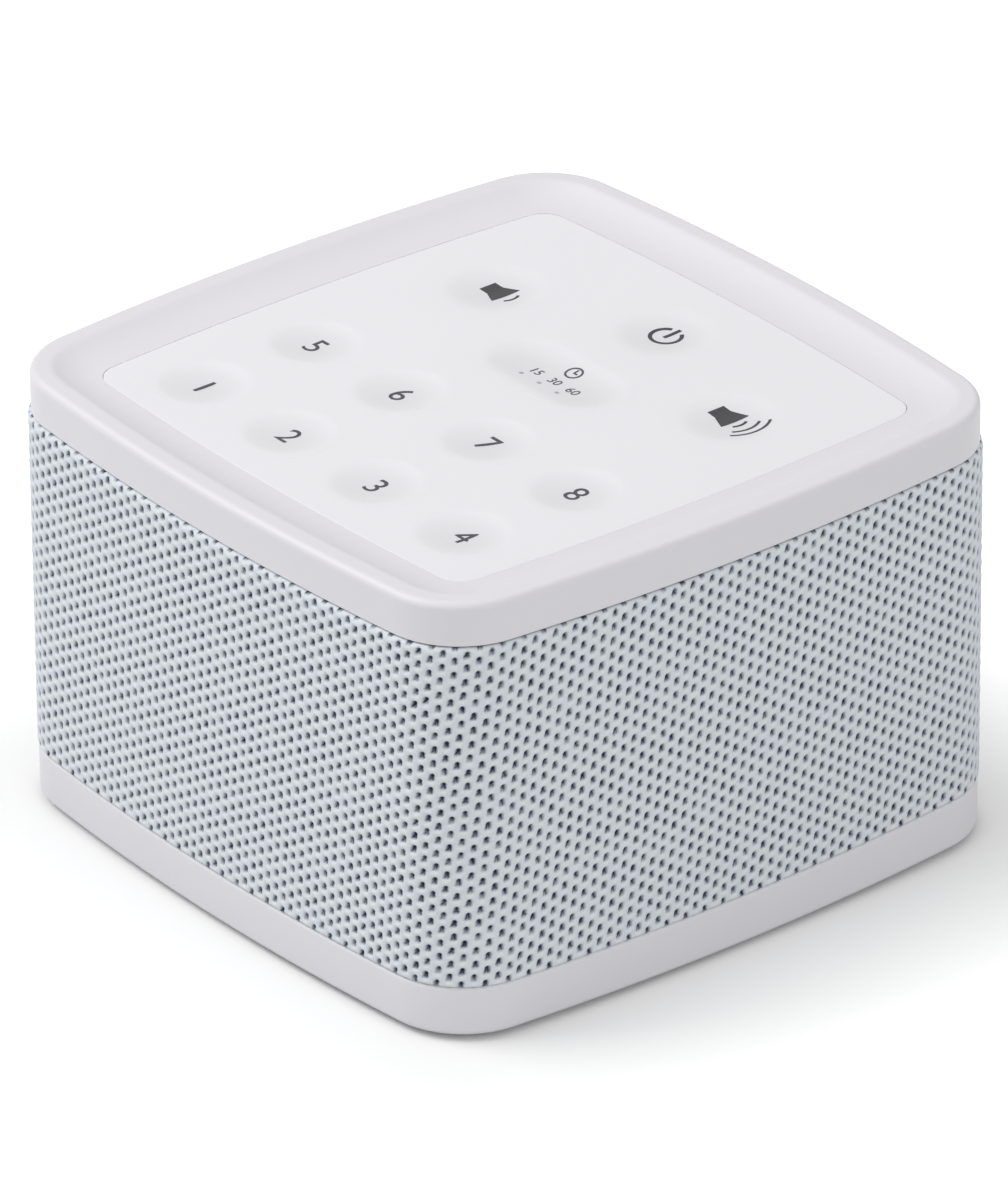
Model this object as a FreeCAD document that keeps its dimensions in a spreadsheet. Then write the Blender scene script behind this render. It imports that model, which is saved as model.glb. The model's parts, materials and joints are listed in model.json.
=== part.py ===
import FreeCAD
import Part
import math
import os
import Sketcher

# White noise sound machine: a rounded block with bowed sides. A slotted frame inside a knitted sleeve
# carries a small loudspeaker. A base cap with a battery bay closes it below, and a cover with a dished
# touch panel closes it above. Lengths are in millimetres. +Z is up, -Y is the front, and the origin is
# the middle of the underside, at the height of the surface that the feet stand on.

SIZES = {
    # Outline, seen from above
    "case_width": (109.6, "width of the cover across two sides"),
    "side_radius": (420.0, "radius of each bowed side of the cover"),
    "corner_radius": (13.0, "radius of each upright corner of the cover"),
    # Heights of the outside, from the ground up
    "foot_stand": (0.8, "what the feet stand out below the base"),
    "band_height": (7.9, "height of the base band that shows"),
    "sleeve_height": (55.3, "height of the gap that the sleeve fills"),
    "rim_height": (6.7, "height of the cover above the sleeve"),
    # Cover
    "wall": (2.0, "thickness of the moulded walls"),
    "rim_ease": (1.1, "rounding of the rim's outer edge"),
    "crest_width": (1.6, "flat top of the rim"),
    "crest_ease": (2.0, "rounding of the rim's inner edge"),
    "cove_width": (7.5, "width of the hollow slope inside the rim"),
    "cove_depth": (2.0, "fall from the rim to the touch panel"),
    "ledge_width": (1.8, "flat inside the cove that the sweep ends in"),
    "key_plate": (1.6, "thickness of the plate under the touch panel"),
    "spigot_wall": (1.5, "thickness of the locating ring of cover and base"),
    "spigot_depth": (2.5, "depth of the locating ring inside the frame"),
    "fit_gap": (0.2, "gap between a locating ring and the frame"),
    "joined": (0.5, "what two features of one moulding share where they meet"),
    # Touch panel and keys
    "panel_margin": (10.8, "from the cover's outside to the touch panel"),
    "panel_side_radius": (520.0, "radius of each bowed side of the touch panel"),
    "panel_corner": (4.0, "corner radius of the touch panel"),
    "panel_thickness": (1.0, "thickness of the touch panel"),
    "panel_gap": (0.15, "gap round the touch panel in its recess"),
    "key_diameter": (13.2, "diameter of a round key"),
    "key_gap": (0.25, "gap round a key in its opening"),
    "key_column_pitch": (20.2, "distance between two sound keys in a row"),
    "key_row_pitch": (20.5, "distance between the two rows of sound keys"),
    "front_row": (23.3, "from the cover's front to the front row of sound keys"),
    "volume_spread": (27.2, "from the middle to each volume key"),
    "volume_row": (20.4, "from the middle back to the volume keys"),
    "power_row": (24.3, "from the cover's back to the power key"),
    "timer_row": (9.8, "from the middle back to the timer key"),
    "timer_switch": (1.4, "from the timer key's middle back to its switch"),
    "timer_length": (24.6, "length of the timer key"),
    "timer_width": (11.6, "width of the timer key"),
    "dish_depth": (0.9, "depth of the dish in each key"),
    "key_travel": (0.6, "how far a key goes down"),
    "flange_lap": (0.9, "what a key's flange reaches past its opening"),
    "flange_thickness": (0.8, "thickness of a key's flange"),
    "plunger_diameter": (4.0, "diameter of the post under a key"),
    "light_hole": (0.9, "diameter of the light holes in the timer key"),
    "light_pitch": (4.1, "distance between the timer's light holes"),
    "light_offset": (3.2, "light holes in front of the timer key's middle"),
    # Switches and circuit board
    "switch_width": (6.0, "width of a switch housing"),
    "switch_height": (3.5, "height of a switch housing"),
    "stem_diameter": (3.2, "diameter of a switch stem"),
    "stem_stand": (1.2, "what a stem stands above its housing"),
    "stem_depth": (1.6, "length of a stem inside its housing"),
    "running_gap": (0.08, "radial gap of a sliding piece in its bore"),
    "board_side_gap": (10.8, "from the cover's outside to the circuit board, at its sides"),
    "board_end_gap": (12.8, "from the cover's outside to the circuit board, front and back"),
    "board_chamfer": (12.0, "corners cut off the circuit board"),
    "board_thickness": (1.6, "thickness of the circuit board"),
    "plunger_height": (1.8, "length of a key's post below its flange"),
    "board_screw_edge": (3.5, "from the circuit board's side in to a screw"),
    "board_screw_y": (20.0, "from the middle to a board screw, front to back"),
    "capacitor_diameter": (6.3, "diameter of a capacitor's can"),
    "capacitor_height": (8.0, "height of a capacitor's can"),
    "light_length": (1.6, "length of a timer light"),
    "light_width": (0.8, "width and height of a timer light"),
    # Sleeve and frame
    "sleeve_proud": (0.4, "what the sleeve stands out past the cover"),
    "sleeve_thickness": (1.2, "thickness of the knitted sleeve"),
    "sleeve_gap": (0.3, "gap above the sleeve and behind it"),
    "sleeve_ease": (0.7, "rounding of the sleeve's edges"),
    "slot_width": (3.0, "width of a sound slot"),
    "slot_height": (38.0, "height of a sound slot"),
    "slot_pitch": (6.4, "distance between two sound slots"),
    "slot_count": (11, "sound slots in each side of the frame"),
    "column_reach": (4.3551, "from a rounded corner's centre out to its column, both ways"),
    "column_radius": (4.2, "radius of a corner column"),
    "column_height": (12.0, "height of a corner column"),
    "cover_boss": (3.6, "radius of a screw boss under the cover"),
    "lug_thickness": (2.4, "thickness of the ears under the cover"),
    # Base
    "band_inset_top": (1.3, "band behind the cover's outside, at its top"),
    "band_inset_foot": (0.7, "band behind the cover's outside, at its foot"),
    "base_floor": (2.4, "thickness of the base's floor"),
    "band_ease": (0.6, "rounding of the band's upper edge"),
    "base_ease": (1.4, "rounding of the base's lower edge"),
    "floor_lap": (6.0, "width of the floor that is swept with the band"),
    "foot_diameter": (9.0, "diameter of a rubber foot"),
    "foot_recess": (0.7, "depth of a foot's recess"),
    "foot_ease": (0.4, "rounding of a foot's lower edge"),
    # Battery bay
    "cell_diameter": (14.2, "diameter of an AA cell"),
    "cell_length": (49.5, "length of an AA cell without its nub"),
    "cell_nub": (1.0, "height of a cell's nub"),
    "cell_gap": (0.3, "gap round a cell"),
    "contact_room": (3.0, "room for the contacts at each end of the cells"),
    "bay_setback": (11.55, "from the cover's back to the bay"),
    "bay_wall": (1.6, "thickness of the battery bay's walls"),
    "cell_count": (4, "cells side by side in the bay"),
    "cell_ease": (0.6, "rounding of a cell's ends"),
    "nub_diameter": (5.4, "diameter of a cell's nub"),
    "rib_height": (4.0, "depth of the ribs between the cells"),
    "rib_width": (1.2, "thickness of the ribs between the cells"),
    "rib_length": (37.5, "length of the ribs between the cells"),
    "door_thickness": (2.0, "thickness of the battery door"),
    "door_gap": (0.3, "gap round the battery door"),
    "door_lap": (3.0, "what the door reaches past the bay all round"),
    "door_pin": (1.2, "diameter of the door's pivot pins"),
    "door_pin_length": (1.6, "length of the door's pivot pins"),
    "latch_width": (14.0, "width of the door's latch tongue"),
    "latch_length": (4.0, "length of the door's latch tongue"),
    "grip_width": (9.8, "width of the grip lines on the door"),
    "grip_line": (0.9, "thickness of a grip line"),
    "grip_pitch": (2.4, "distance between two grip lines"),
    "grip_place": (5.0, "from the door's front edge back to the finger dip"),
    "grip_depth": (0.4, "depth of a grip line"),
    "dip_width": (3.0, "width of the finger dip, front to back"),
    "dip_depth": (0.8, "depth of the finger dip"),
    "contact_thickness": (0.4, "thickness of the contact strip"),
    "contact_width": (9.0, "width of a battery contact"),
    "contact_height": (11.0, "height of a battery contact"),
    "contact_foot": (1.0, "height of a contact's foot above the cells' underside"),
    "contact_pad": (1.5, "half height of the part of a contact that bears on the cell"),
    # Loudspeaker
    "speaker_diameter": (46.0, "outside diameter of the loudspeaker"),
    "speaker_height": (34.0, "height of the loudspeaker's axis"),
    "baffle_depth": (3.6, "from the frame's wall back to the baffle's face"),
    "baffle_width": (4.4, "width of the baffle ring"),
    "gasket_thickness": (1.0, "thickness of the foam gasket"),
    "flange_rim": (1.2, "thickness of the basket's rim"),
    "basket_depth": (12.0, "depth of the basket"),
    "basket_sheet": (0.9, "thickness of the basket's sheet"),
    "magnet_diameter": (32.0, "diameter of the magnet"),
    "magnet_thickness": (7.0, "thickness of the magnet"),
    "plate_thickness": (2.0, "thickness of the speaker's top plate"),
    "coil_radius": (6.8, "middle radius of the voice coil"),
    "ear_reach": (1.9, "from the basket's rim out to a screw in its ear"),
    "surround_width": (3.4, "width of the basket's rim that carries the surround"),
    "cone_sheet": (0.5, "thickness of the cone"),
    "coil_gap": (0.5, "from the coil's middle to each wall of the magnet's gap"),
    "dome_sheet": (0.4, "thickness of the dust cap"),
    "dome_lap": (1.4, "what the dust cap reaches past the cone's neck"),
    "dome_lift": (0.2, "thickness of the glue under the dust cap"),
    "dome_rise": (2.4, "height of the dust cap's dome"),
    "neck_rise": (4.0, "height of the cone's neck above the basket's floor"),
    "former_wall": (0.2, "thickness of the coil's tube, and of the wire on it"),
    "spider_wave": (0.3, "height of the spider's waves, and its thickness"),
    # Screws and power socket
    "screw_diameter": (2.6, "diameter of a screw's shank"),
    "screw_head": (4.8, "diameter of a screw's head"),
    "screw_head_height": (1.6, "height of a screw's head"),
    "screw_length": (7.0, "length of an upper screw's shank"),
    "base_screw_length": (12.0, "length of a base screw's shank"),
    "speaker_screw": (5.5, "length of a speaker screw's shank"),
    "screw_gap": (0.1, "gap round a screw's shank"),
    "screw_room": (0.4, "room past the tip of a screw"),
    "drive_width": (0.9, "width of the cross slot in a screw's head"),
    "drive_depth": (0.8, "depth of the cross slot in a screw's head"),
    "socket_bore": (3.6, "bore in the base in front of the power socket"),
    "jack_bore": (4.8, "bore of the power socket itself, round its pin"),
    "socket_side_gap": (17.9, "from the cover's side in to the power socket's middle"),
    "socket_setback": (3.0, "from the cover's back to the flat round the power socket"),
    "socket_flat": (2.2, "radius of that flat"),
    "socket_wall": (3.8, "thickness of the base in front of the power socket"),
    "socket_body": (6.0, "width of the power socket's body"),
    "socket_length": (10.0, "length of the power socket's body"),
    "socket_end_wall": (1.5, "thickness of the socket's closed end"),
    "pin_setback": (1.0, "from the socket's mouth in to the tip of its pin"),
    "socket_pin": (1.3, "diameter of the power socket's centre pin"),
}

doc = FreeCAD.newDocument("SoundMachine")
sheet = doc.addObject("Spreadsheet::Sheet", "Sizes")
for row, (alias, (value, meaning)) in enumerate(SIZES.items(), start=1):
    sheet.set(f"A{row}", meaning)
    sheet.set(f"B{row}", str(value))
    sheet.setAlias(f"B{row}", alias)
doc.recompute()


class Size:
    """A length with its present value and the sheet formula that gives it."""

    def __init__(self, value, formula):
        self.value = value
        self.formula = formula

    def joined(self, other, value, sign):
        return Size(value, f"({self.formula} {sign} {other.formula})")

    def __add__(self, other):
        other = as_size(other)
        return self.joined(other, self.value + other.value, "+")

    def __sub__(self, other):
        other = as_size(other)
        return self.joined(other, self.value - other.value, "-")

    def __mul__(self, other):
        other = as_size(other)
        return self.joined(other, self.value * other.value, "*")

    def __truediv__(self, other):
        other = as_size(other)
        return self.joined(other, self.value / other.value, "/")

    def __radd__(self, other):
        return as_size(other) + self

    def __rsub__(self, other):
        return as_size(other) - self

    def __rmul__(self, other):
        return as_size(other) * self

    def __neg__(self):
        return Size(-self.value, f"(0 - {self.formula})")


def as_size(thing):
    if isinstance(thing, Size):
        return thing
    return Size(float(thing), repr(float(thing)))


def root(size):
    return Size(math.sqrt(size.value), f"sqrt({size.formula})")


def sized(alias):
    return Size(float(sheet.get(alias)), f"Sizes.{alias}")


class Sheet:
    """Reads the sheet's cells by name, as sizes."""

    def __getattr__(self, alias):
        return sized(alias)


S = Sheet()

# Heights and half widths that several pieces share
base_bottom = S.foot_stand
band_top = base_bottom + S.band_height
parting = band_top + S.sleeve_height
rim_top = parting + S.rim_height
panel_top = rim_top - S.cove_depth
plate_top = panel_top - S.panel_thickness
plate_bottom = plate_top - S.key_plate
half_width = S.case_width / 2


def bind(thing, path, size):
    """Ties one property of an object to the sheet."""
    thing.setExpression(path, as_size(size).formula)


def new_body(label):
    body = doc.addObject("PartDesign::Body", label)
    body.Label = label
    return body


def new_sketch(body, name, plane="XY_Plane", offset=None):
    sketch = body.newObject("Sketcher::SketchObject", name)
    support = [f for f in body.Origin.OriginFeatures if f.Role == plane][0]
    sketch.AttachmentSupport = [(support, "")]
    sketch.MapMode = "FlatFace"
    if offset is not None:
        sketch.AttachmentOffset = FreeCAD.Placement(
            FreeCAD.Vector(0, 0, offset.value), FreeCAD.Rotation())
        bind(sketch, "AttachmentOffset.Base.z", offset)
    return sketch


def pin_point(sketch, edge, end, point):
    """Holds a point of a sketch at its distances from the origin."""
    for kind, size in (("DistanceX", point[0]), ("DistanceY", point[1])):
        size = as_size(size)
        number = sketch.addConstraint(
            Sketcher.Constraint(kind, -1, 1, edge, end, size.value))
        sketch.setExpression(f"Constraints[{number}]", size.formula)


def hold_arc(sketch, edge, here, after):
    """Holds an arc whose ends are pinned: by its radius, or by its centre where it is a half circle."""
    radius = here[2] if here[2].value > 0 else -here[2]
    across = abs(as_size(after[0]).value - as_size(here[0]).value)
    along = abs(as_size(after[1]).value - as_size(here[1]).value)
    if math.hypot(across, along) / 2 < radius.value * 0.999:
        constraint, size = Sketcher.Constraint("Radius", edge, radius.value), radius
    elif across < along:
        size = as_size(here[0])
        constraint = Sketcher.Constraint("DistanceX", -1, 1, edge, 3, size.value)
    else:
        size = as_size(here[1])
        constraint = Sketcher.Constraint("DistanceY", -1, 1, edge, 3, size.value)
    number = sketch.addConstraint(constraint)
    sketch.setExpression(f"Constraints[{number}]", size.formula)


def draw_profile(sketch, corners):
    """Draws a closed outline. Each corner is (x, y) and may carry the radius of the arc that leads to
    the next corner: a positive radius bulges to the right of the way there, a negative one to the left."""
    edges = []
    for here, after in zip(corners, corners[1:] + corners[:1]):
        start = FreeCAD.Vector(as_size(here[0]).value, as_size(here[1]).value, 0)
        end = FreeCAD.Vector(as_size(after[0]).value, as_size(after[1]).value, 0)
        if len(here) == 2:
            edge = sketch.addGeometry(Part.LineSegment(start, end))
            edges.append((edge, 1, 2))
            continue
        radius = here[2].value
        chord = end - start
        right = FreeCAD.Vector(chord.y, -chord.x, 0).normalize()
        half_chord = chord.Length / 2
        sag = abs(radius) - math.sqrt(max(radius * radius - half_chord * half_chord, 0.0))
        middle = (start + end) / 2 + right * math.copysign(sag, radius)
        edge = sketch.addGeometry(Part.Arc(start, middle, end))
        starts_here = sketch.getPoint(edge, 1).sub(start).Length < 1e-6
        edges.append((edge, 1, 2) if starts_here else (edge, 2, 1))
    for index, here in enumerate(corners):
        edge, start, _ = edges[index]
        last_edge, _, last_end = edges[index - 1]
        sketch.addConstraint(Sketcher.Constraint("Coincident", last_edge, last_end, edge, start))
        pin_point(sketch, edge, start, here)
        if len(here) == 3:
            hold_arc(sketch, edge, here, corners[(index + 1) % len(corners)])


def corner_centre(half, side_radius, corner):
    """Where the centre of a bowed square's corner arc lies, both ways from the middle. The side's arc
    is centred on the axis behind the middle, and the corner's arc lies inside it and touches it."""
    reach = side_radius - half
    span = side_radius - corner
    return (root(2 * span * span - reach * reach) - reach) / 2


def bowed_corners(half, side_radius, corner, inset=0.0, split=False):
    """Corners of a square with bowed sides and round corners, moved in by the inset."""
    reach = side_radius - half
    span = side_radius - corner
    middle = corner_centre(half, side_radius, corner)
    share = (side_radius - inset) / span
    near = middle * share
    far = (middle + reach) * share - reach
    side = side_radius - inset
    bend = corner - inset
    points = [
        (far, -near, side), (far, near, bend), (near, far, side), (-near, far, bend),
        (-far, near, side), (-far, -near, bend), (-near, -far, side), (near, -far, bend),
    ]
    if split:
        points = [(half - inset, as_size(0.0), side)] + points[1:] + points[:1]
    return points


def case_corners(inset=0.0, split=False):
    return bowed_corners(half_width, S.side_radius, S.corner_radius, as_size(inset), split)


def draw_circle(sketch, x, y, radius):
    x, y, radius = as_size(x), as_size(y), as_size(radius)
    circle = Part.Circle(FreeCAD.Vector(x.value, y.value, 0), FreeCAD.Vector(0, 0, 1), radius.value)
    edge = sketch.addGeometry(circle)
    pin_point(sketch, edge, 3, (x, y))
    number = sketch.addConstraint(Sketcher.Constraint("Radius", edge, radius.value))
    sketch.setExpression(f"Constraints[{number}]", radius.formula)
    return edge


def new_feature(body, kind, name, sketch, **sizes):
    feature = body.newObject(f"PartDesign::{kind}", name)
    feature.Profile = sketch
    for path, size in sizes.items():
        bind(feature, path, size)
    return feature


def ring_insets():
    """Insets of the sleeve, the frame and the locating rings, from the outside in."""
    sleeve_inside = S.sleeve_thickness - S.sleeve_proud
    frame_outside = sleeve_inside + S.sleeve_gap
    frame_inside = frame_outside + S.wall
    spigot_outside = frame_inside + S.fit_gap
    return sleeve_inside, frame_outside, frame_inside, spigot_outside, spigot_outside + S.spigot_wall


sleeve_inside, frame_outside, frame_inside, spigot_outside, spigot_inside = ring_insets()

# Places of the keys, and the circle that each round key's opening makes
key_radius = S.key_diameter / 2
opening_radius = key_radius + S.key_gap
round_keys = {}
for number in range(8):
    column = (number % 4 - 1.5) * S.key_column_pitch
    row = (number // 4) * S.key_row_pitch - (half_width - S.front_row)
    round_keys[f"sound_key_{number + 1}"] = (column, row)
round_keys["volume_down_key"] = (-S.volume_spread, S.volume_row)
round_keys["volume_up_key"] = (S.volume_spread, S.volume_row)
round_keys["power_key"] = (as_size(0.0), half_width - S.power_row)
timer_place = (as_size(0.0), S.timer_row)
timer_switch_place = (as_size(0.0), S.timer_row + S.timer_switch)

# The corner columns and the circuit board follow the cover's outline
column_place = corner_centre(half_width, S.side_radius, S.corner_radius) + S.column_reach
board_right = half_width - S.board_side_gap
board_back = half_width - S.board_end_gap
board_screw_x = board_right - S.board_screw_edge

# Heights of the switches and the circuit board, which hang below the key plate
flange_bottom = plate_bottom - S.flange_thickness
stem_top = flange_bottom - S.plunger_height
switch_top = stem_top - S.stem_stand
board_top = switch_top - S.switch_height
board_bottom = board_top - S.board_thickness
lug_top = parting - S.spigot_depth
lug_bottom = lug_top - S.lug_thickness
floor_top = base_bottom + S.base_floor

# The loudspeaker's own frame: its axis is Z, and its front is the top of its rim
baffle_face = S.baffle_depth - (half_width - frame_inside)
speaker_front = baffle_face + S.gasket_thickness
speaker_radius = S.speaker_diameter / 2
ear_place = (speaker_radius + S.ear_reach) / math.sqrt(2)
ear_radius = (S.screw_head + S.screw_head_height) / 2

# The battery bay
bay_width = S.cell_count * (S.cell_diameter + S.cell_gap) + S.cell_gap
bay_length = S.cell_length + S.cell_nub + 2 * S.contact_room
bay_middle = half_width - S.bay_setback - bay_length / 2
cell_bottom = base_bottom + S.door_thickness + S.cell_gap
bay_roof = cell_bottom + S.cell_diameter + S.cell_gap


def draw_rectangle(sketch, x, y, width, depth):
    """A rectangle centred on (x, y)."""
    x, y = as_size(x), as_size(y)
    right, back = x + as_size(width) / 2, y + as_size(depth) / 2
    left, front = x - as_size(width) / 2, y - as_size(depth) / 2
    draw_profile(sketch, [(left, front), (right, front), (right, back), (left, back)])


def draw_obround(sketch, x, y, length, width):
    """A slot shape centred on (x, y), lying along the sketch's first axis."""
    x, y = as_size(x), as_size(y)
    radius = as_size(width) / 2
    arm = as_size(length) / 2 - radius
    draw_profile(sketch, [
        (x - arm, y - radius),
        (x + arm, y - radius, radius),
        (x + arm, y + radius),
        (x - arm, y + radius, radius),
    ])


def pad(body, name, draw, height, thickness, plane="XY_Plane", reverse=False):
    """Adds a slab: its outline is drawn at the height given and carried up by the thickness."""
    sketch = new_sketch(body, name + "_outline", plane, as_size(height))
    draw(sketch)
    feature = new_feature(body, "Pad", name, sketch, Length=thickness)
    feature.Reversed = reverse
    return feature


def pocket(body, name, draw, height, depth, plane="XY_Plane", reverse=False):
    """Cuts an outline down from the height given. Reversed, it cuts upwards."""
    sketch = new_sketch(body, name + "_outline", plane, as_size(height))
    draw(sketch)
    feature = new_feature(body, "Pocket", name, sketch, Length=depth)
    feature.Reversed = reverse
    return feature


def turned(body, name, corners):
    """Turns a half section, given as (radius, height), round the body's upright axis."""
    sketch = new_sketch(body, name + "_section", "XZ_Plane")
    draw_profile(sketch, corners)
    feature = body.newObject("PartDesign::Revolution", name)
    feature.Profile = sketch
    feature.ReferenceAxis = (sketch, ["V_Axis"])
    feature.Angle = 360
    return feature


def ease_edges(body, name, heights, size):
    """Rounds every edge that lies flat at one of the heights."""
    doc.recompute()
    shape = body.Shape
    names = []
    for index, edge in enumerate(shape.Edges):
        box = edge.BoundBox
        if any(abs(box.ZMin - z.value) < 1e-4 and abs(box.ZMax - z.value) < 1e-4 for z in heights):
            names.append(f"Edge{index + 1}")
    base = body.Tip
    fillet = body.newObject("PartDesign::Fillet", name)
    fillet.Base = (base, names)
    bind(fillet, "Radius", size)
    return fillet


def place_body(body, x=0.0, y=0.0, z=0.0):
    """Moves a finished body to its place."""
    for axis, size in zip("xyz", (x, y, z)):
        size = as_size(size)
        setattr(body.Placement.Base, axis, size.value)
        bind(body, f"Placement.Base.{axis}", size)


def all_four(draw, x, y):
    """Repeats a drawing in the four corners."""
    def drawing(sketch):
        for side_x in (x, -x):
            for side_y in (y, -y):
                draw(sketch, side_x, side_y)
    return drawing


def round_at(radius):
    return lambda sketch, x, y: draw_circle(sketch, x, y, radius)


def draw_key_openings(sketch):
    for x, y in round_keys.values():
        draw_circle(sketch, x, y, opening_radius)
    draw_obround(sketch, *timer_place, S.timer_length + 2 * S.key_gap, S.timer_width + 2 * S.key_gap)


def top_cover():
    """The rim's section is carried round the outline, and the key plate fills its middle."""
    body = new_body("top_cover")
    path = new_sketch(body, "rim_path")
    draw_profile(path, case_corners(split=True))
    # The slope inside the rim is two arcs that meet in one tangent, rounded above and hollow below
    arc_sum = (S.cove_width * S.cove_width + S.cove_depth * S.cove_depth) / (2 * S.cove_depth)
    share = S.crest_ease / arc_sum
    crest_end = S.rim_ease + S.crest_width
    cove_end = crest_end + S.cove_width
    ring_end = cove_end + S.ledge_width

    def place(inset, height, *radius):
        return (half_width - inset, height, *radius)

    section = new_sketch(body, "rim_section", "XZ_Plane")
    draw_profile(section, [
        place(0.0, parting),
        place(0.0, rim_top - S.rim_ease, S.rim_ease),
        place(S.rim_ease, rim_top),
        place(crest_end, rim_top, S.crest_ease),
        place(crest_end + S.cove_width * share, rim_top - S.cove_depth * share, S.crest_ease - arc_sum),
        place(cove_end, panel_top),
        place(ring_end, panel_top),
        place(ring_end, plate_bottom),
        place(spigot_inside, plate_bottom),
        place(spigot_inside, lug_top),
        place(spigot_outside, lug_top),
        place(spigot_outside, rim_top - S.wall),
        place(S.wall, rim_top - S.wall),
        place(S.wall, parting),
    ])
    rim = body.newObject("PartDesign::AdditivePipe", "rim")
    rim.Profile = section
    rim.Spine = (path, [f"Edge{n + 1}" for n in range(9)])
    pad(body, "key_plate_blank", lambda k: draw_profile(k, case_corners(ring_end - S.joined)),
        plate_bottom, panel_top - plate_bottom)
    panel_half = half_width - S.panel_margin + S.panel_gap
    pocket(body, "panel_recess", lambda k: draw_profile(k, bowed_corners(
        panel_half, S.panel_side_radius, S.panel_corner)), panel_top, S.panel_thickness)
    pad(body, "board_bosses", all_four(round_at(S.screw_diameter), board_screw_x, S.board_screw_y),
        board_top, plate_bottom - board_top)
    pad(body, "cover_bosses", all_four(round_at(S.cover_boss), column_place, column_place),
        lug_top, plate_bottom - lug_top + S.joined)
    pocket(body, "key_openings", draw_key_openings, plate_top, S.key_plate)
    hole = S.screw_diameter / 2 + S.screw_gap
    pocket(body, "board_screw_holes", all_four(round_at(hole), board_screw_x, S.board_screw_y),
        board_top, S.screw_length - S.board_thickness + S.screw_room, reverse=True)
    pocket(body, "cover_screw_holes", all_four(round_at(hole), column_place, column_place),
        lug_top, S.screw_length - S.lug_thickness + S.screw_room, reverse=True)
    return body


def control_overlay():
    body = new_body("control_overlay")
    panel_half = half_width - S.panel_margin
    pad(body, "panel", lambda k: draw_profile(k, bowed_corners(
        panel_half, S.panel_side_radius, S.panel_corner - S.panel_gap)), plate_top, S.panel_thickness)
    pocket(body, "key_openings", draw_key_openings, panel_top, S.panel_thickness)
    return body


def round_key(label, x, y):
    """A dished cap with a flange that the key plate holds down and a post that meets the switch."""
    body = new_body(label)
    flange = opening_radius + S.flange_lap
    post = S.plunger_diameter / 2
    dish = (key_radius * key_radius + S.dish_depth * S.dish_depth) / (2 * S.dish_depth)
    turned(body, "cap", [
        (0.0, stem_top),
        (post, stem_top),
        (post, flange_bottom),
        (flange, flange_bottom),
        (flange, plate_bottom),
        (key_radius, plate_bottom),
        (key_radius, panel_top, -dish),
        (0.0, panel_top - S.dish_depth),
    ])
    place_body(body, x, y)
    return body


def timer_key():
    """The long key: a slot-shaped cap with a dish swept along it and three light holes."""
    body = new_body("timer_key")
    lap = 2 * (S.key_gap + S.flange_lap)
    pad(body, "post", lambda k: draw_circle(k, *timer_switch_place, S.plunger_diameter / 2),
        stem_top, S.plunger_height + S.flange_thickness)
    pad(body, "flange", lambda k: draw_obround(k, *timer_place, S.timer_length + lap, S.timer_width + lap),
        flange_bottom, S.flange_thickness)
    pad(body, "cap", lambda k: draw_obround(k, *timer_place, S.timer_length, S.timer_width),
        plate_bottom, panel_top - plate_bottom)
    # The dish is cut by a round-ended rod of large radius that lies along the key
    half = S.timer_width / 2
    dish = (half * half + S.dish_depth * S.dish_depth) / (2 * S.dish_depth)
    arm = S.timer_length / 2 - half
    centre = panel_top - S.dish_depth + dish
    rod = body.newObject("PartDesign::SubtractiveCylinder", "dish_rod")
    rod.Placement = FreeCAD.Placement(
        FreeCAD.Vector(-arm.value, timer_place[1].value, centre.value),
        FreeCAD.Rotation(FreeCAD.Vector(0, 1, 0), 90))
    bind(rod, "Radius", dish)
    bind(rod, "Height", 2 * arm)
    bind(rod, "Placement.Base.x", -arm)
    bind(rod, "Placement.Base.y", timer_place[1])
    bind(rod, "Placement.Base.z", centre)
    for side, end in ((1, arm), (-1, -arm)):
        ball = body.newObject("PartDesign::SubtractiveSphere", f"dish_end_{'right' if side > 0 else 'left'}")
        ball.Placement = FreeCAD.Placement(
            FreeCAD.Vector(end.value, timer_place[1].value, centre.value), FreeCAD.Rotation())
        bind(ball, "Radius", dish)
        bind(ball, "Placement.Base.x", end)
        bind(ball, "Placement.Base.y", timer_place[1])
        bind(ball, "Placement.Base.z", centre)

    def lights(sketch):
        for step in (-1, 0, 1):
            draw_circle(sketch, step * S.light_pitch, S.timer_row - S.light_offset, S.light_hole / 2)

    pocket(body, "light_holes", lights, panel_top, panel_top - flange_bottom)
    return body


def switch_stem(label, x, y):
    body = new_body(label)
    pad(body, "stem", lambda k: draw_circle(k, 0.0, 0.0, S.stem_diameter / 2),
        switch_top - S.stem_depth, S.stem_depth + S.stem_stand)
    place_body(body, x, y)
    return body


def switch_housings(places):
    """Twelve square housings on the board, each bored for its stem."""
    body = new_body("switch_housings")
    body.AllowCompound = True

    def squares(sketch):
        for x, y in places:
            draw_rectangle(sketch, x, y, S.switch_width, S.switch_width)

    def bores(sketch):
        for x, y in places:
            draw_circle(sketch, x, y, S.stem_diameter / 2 + S.running_gap)

    pad(body, "housings", squares, board_top, S.switch_height)
    pocket(body, "bores", bores, switch_top, S.stem_depth + S.key_travel + S.fit_gap)
    return body


def main_board():
    body = new_body("main_board")
    right, back, cut = board_right, board_back, S.board_chamfer
    pad(body, "sheet", lambda k: draw_profile(k, [
        (cut - right, -back), (right - cut, -back), (right, cut - back), (right, back - cut),
        (right - cut, back), (cut - right, back), (-right, back - cut), (-right, cut - back),
    ]), board_bottom, S.board_thickness)
    hole = S.screw_diameter / 2 + S.screw_gap
    pocket(body, "screw_holes", all_four(round_at(hole), board_screw_x, S.board_screw_y),
        board_top, S.board_thickness)
    return body


def blocks(label, pieces):
    """A group of plain parts under the board. Each is (x, y, width, depth, height)."""
    body = new_body(label)
    body.AllowCompound = True
    for number, (x, y, width, depth, height) in enumerate(pieces, start=1):
        pad(body, f"block_{number}", lambda k, a=(x, y, width, depth): draw_rectangle(k, *a),
            board_bottom, height, reverse=True)
    return body


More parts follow.
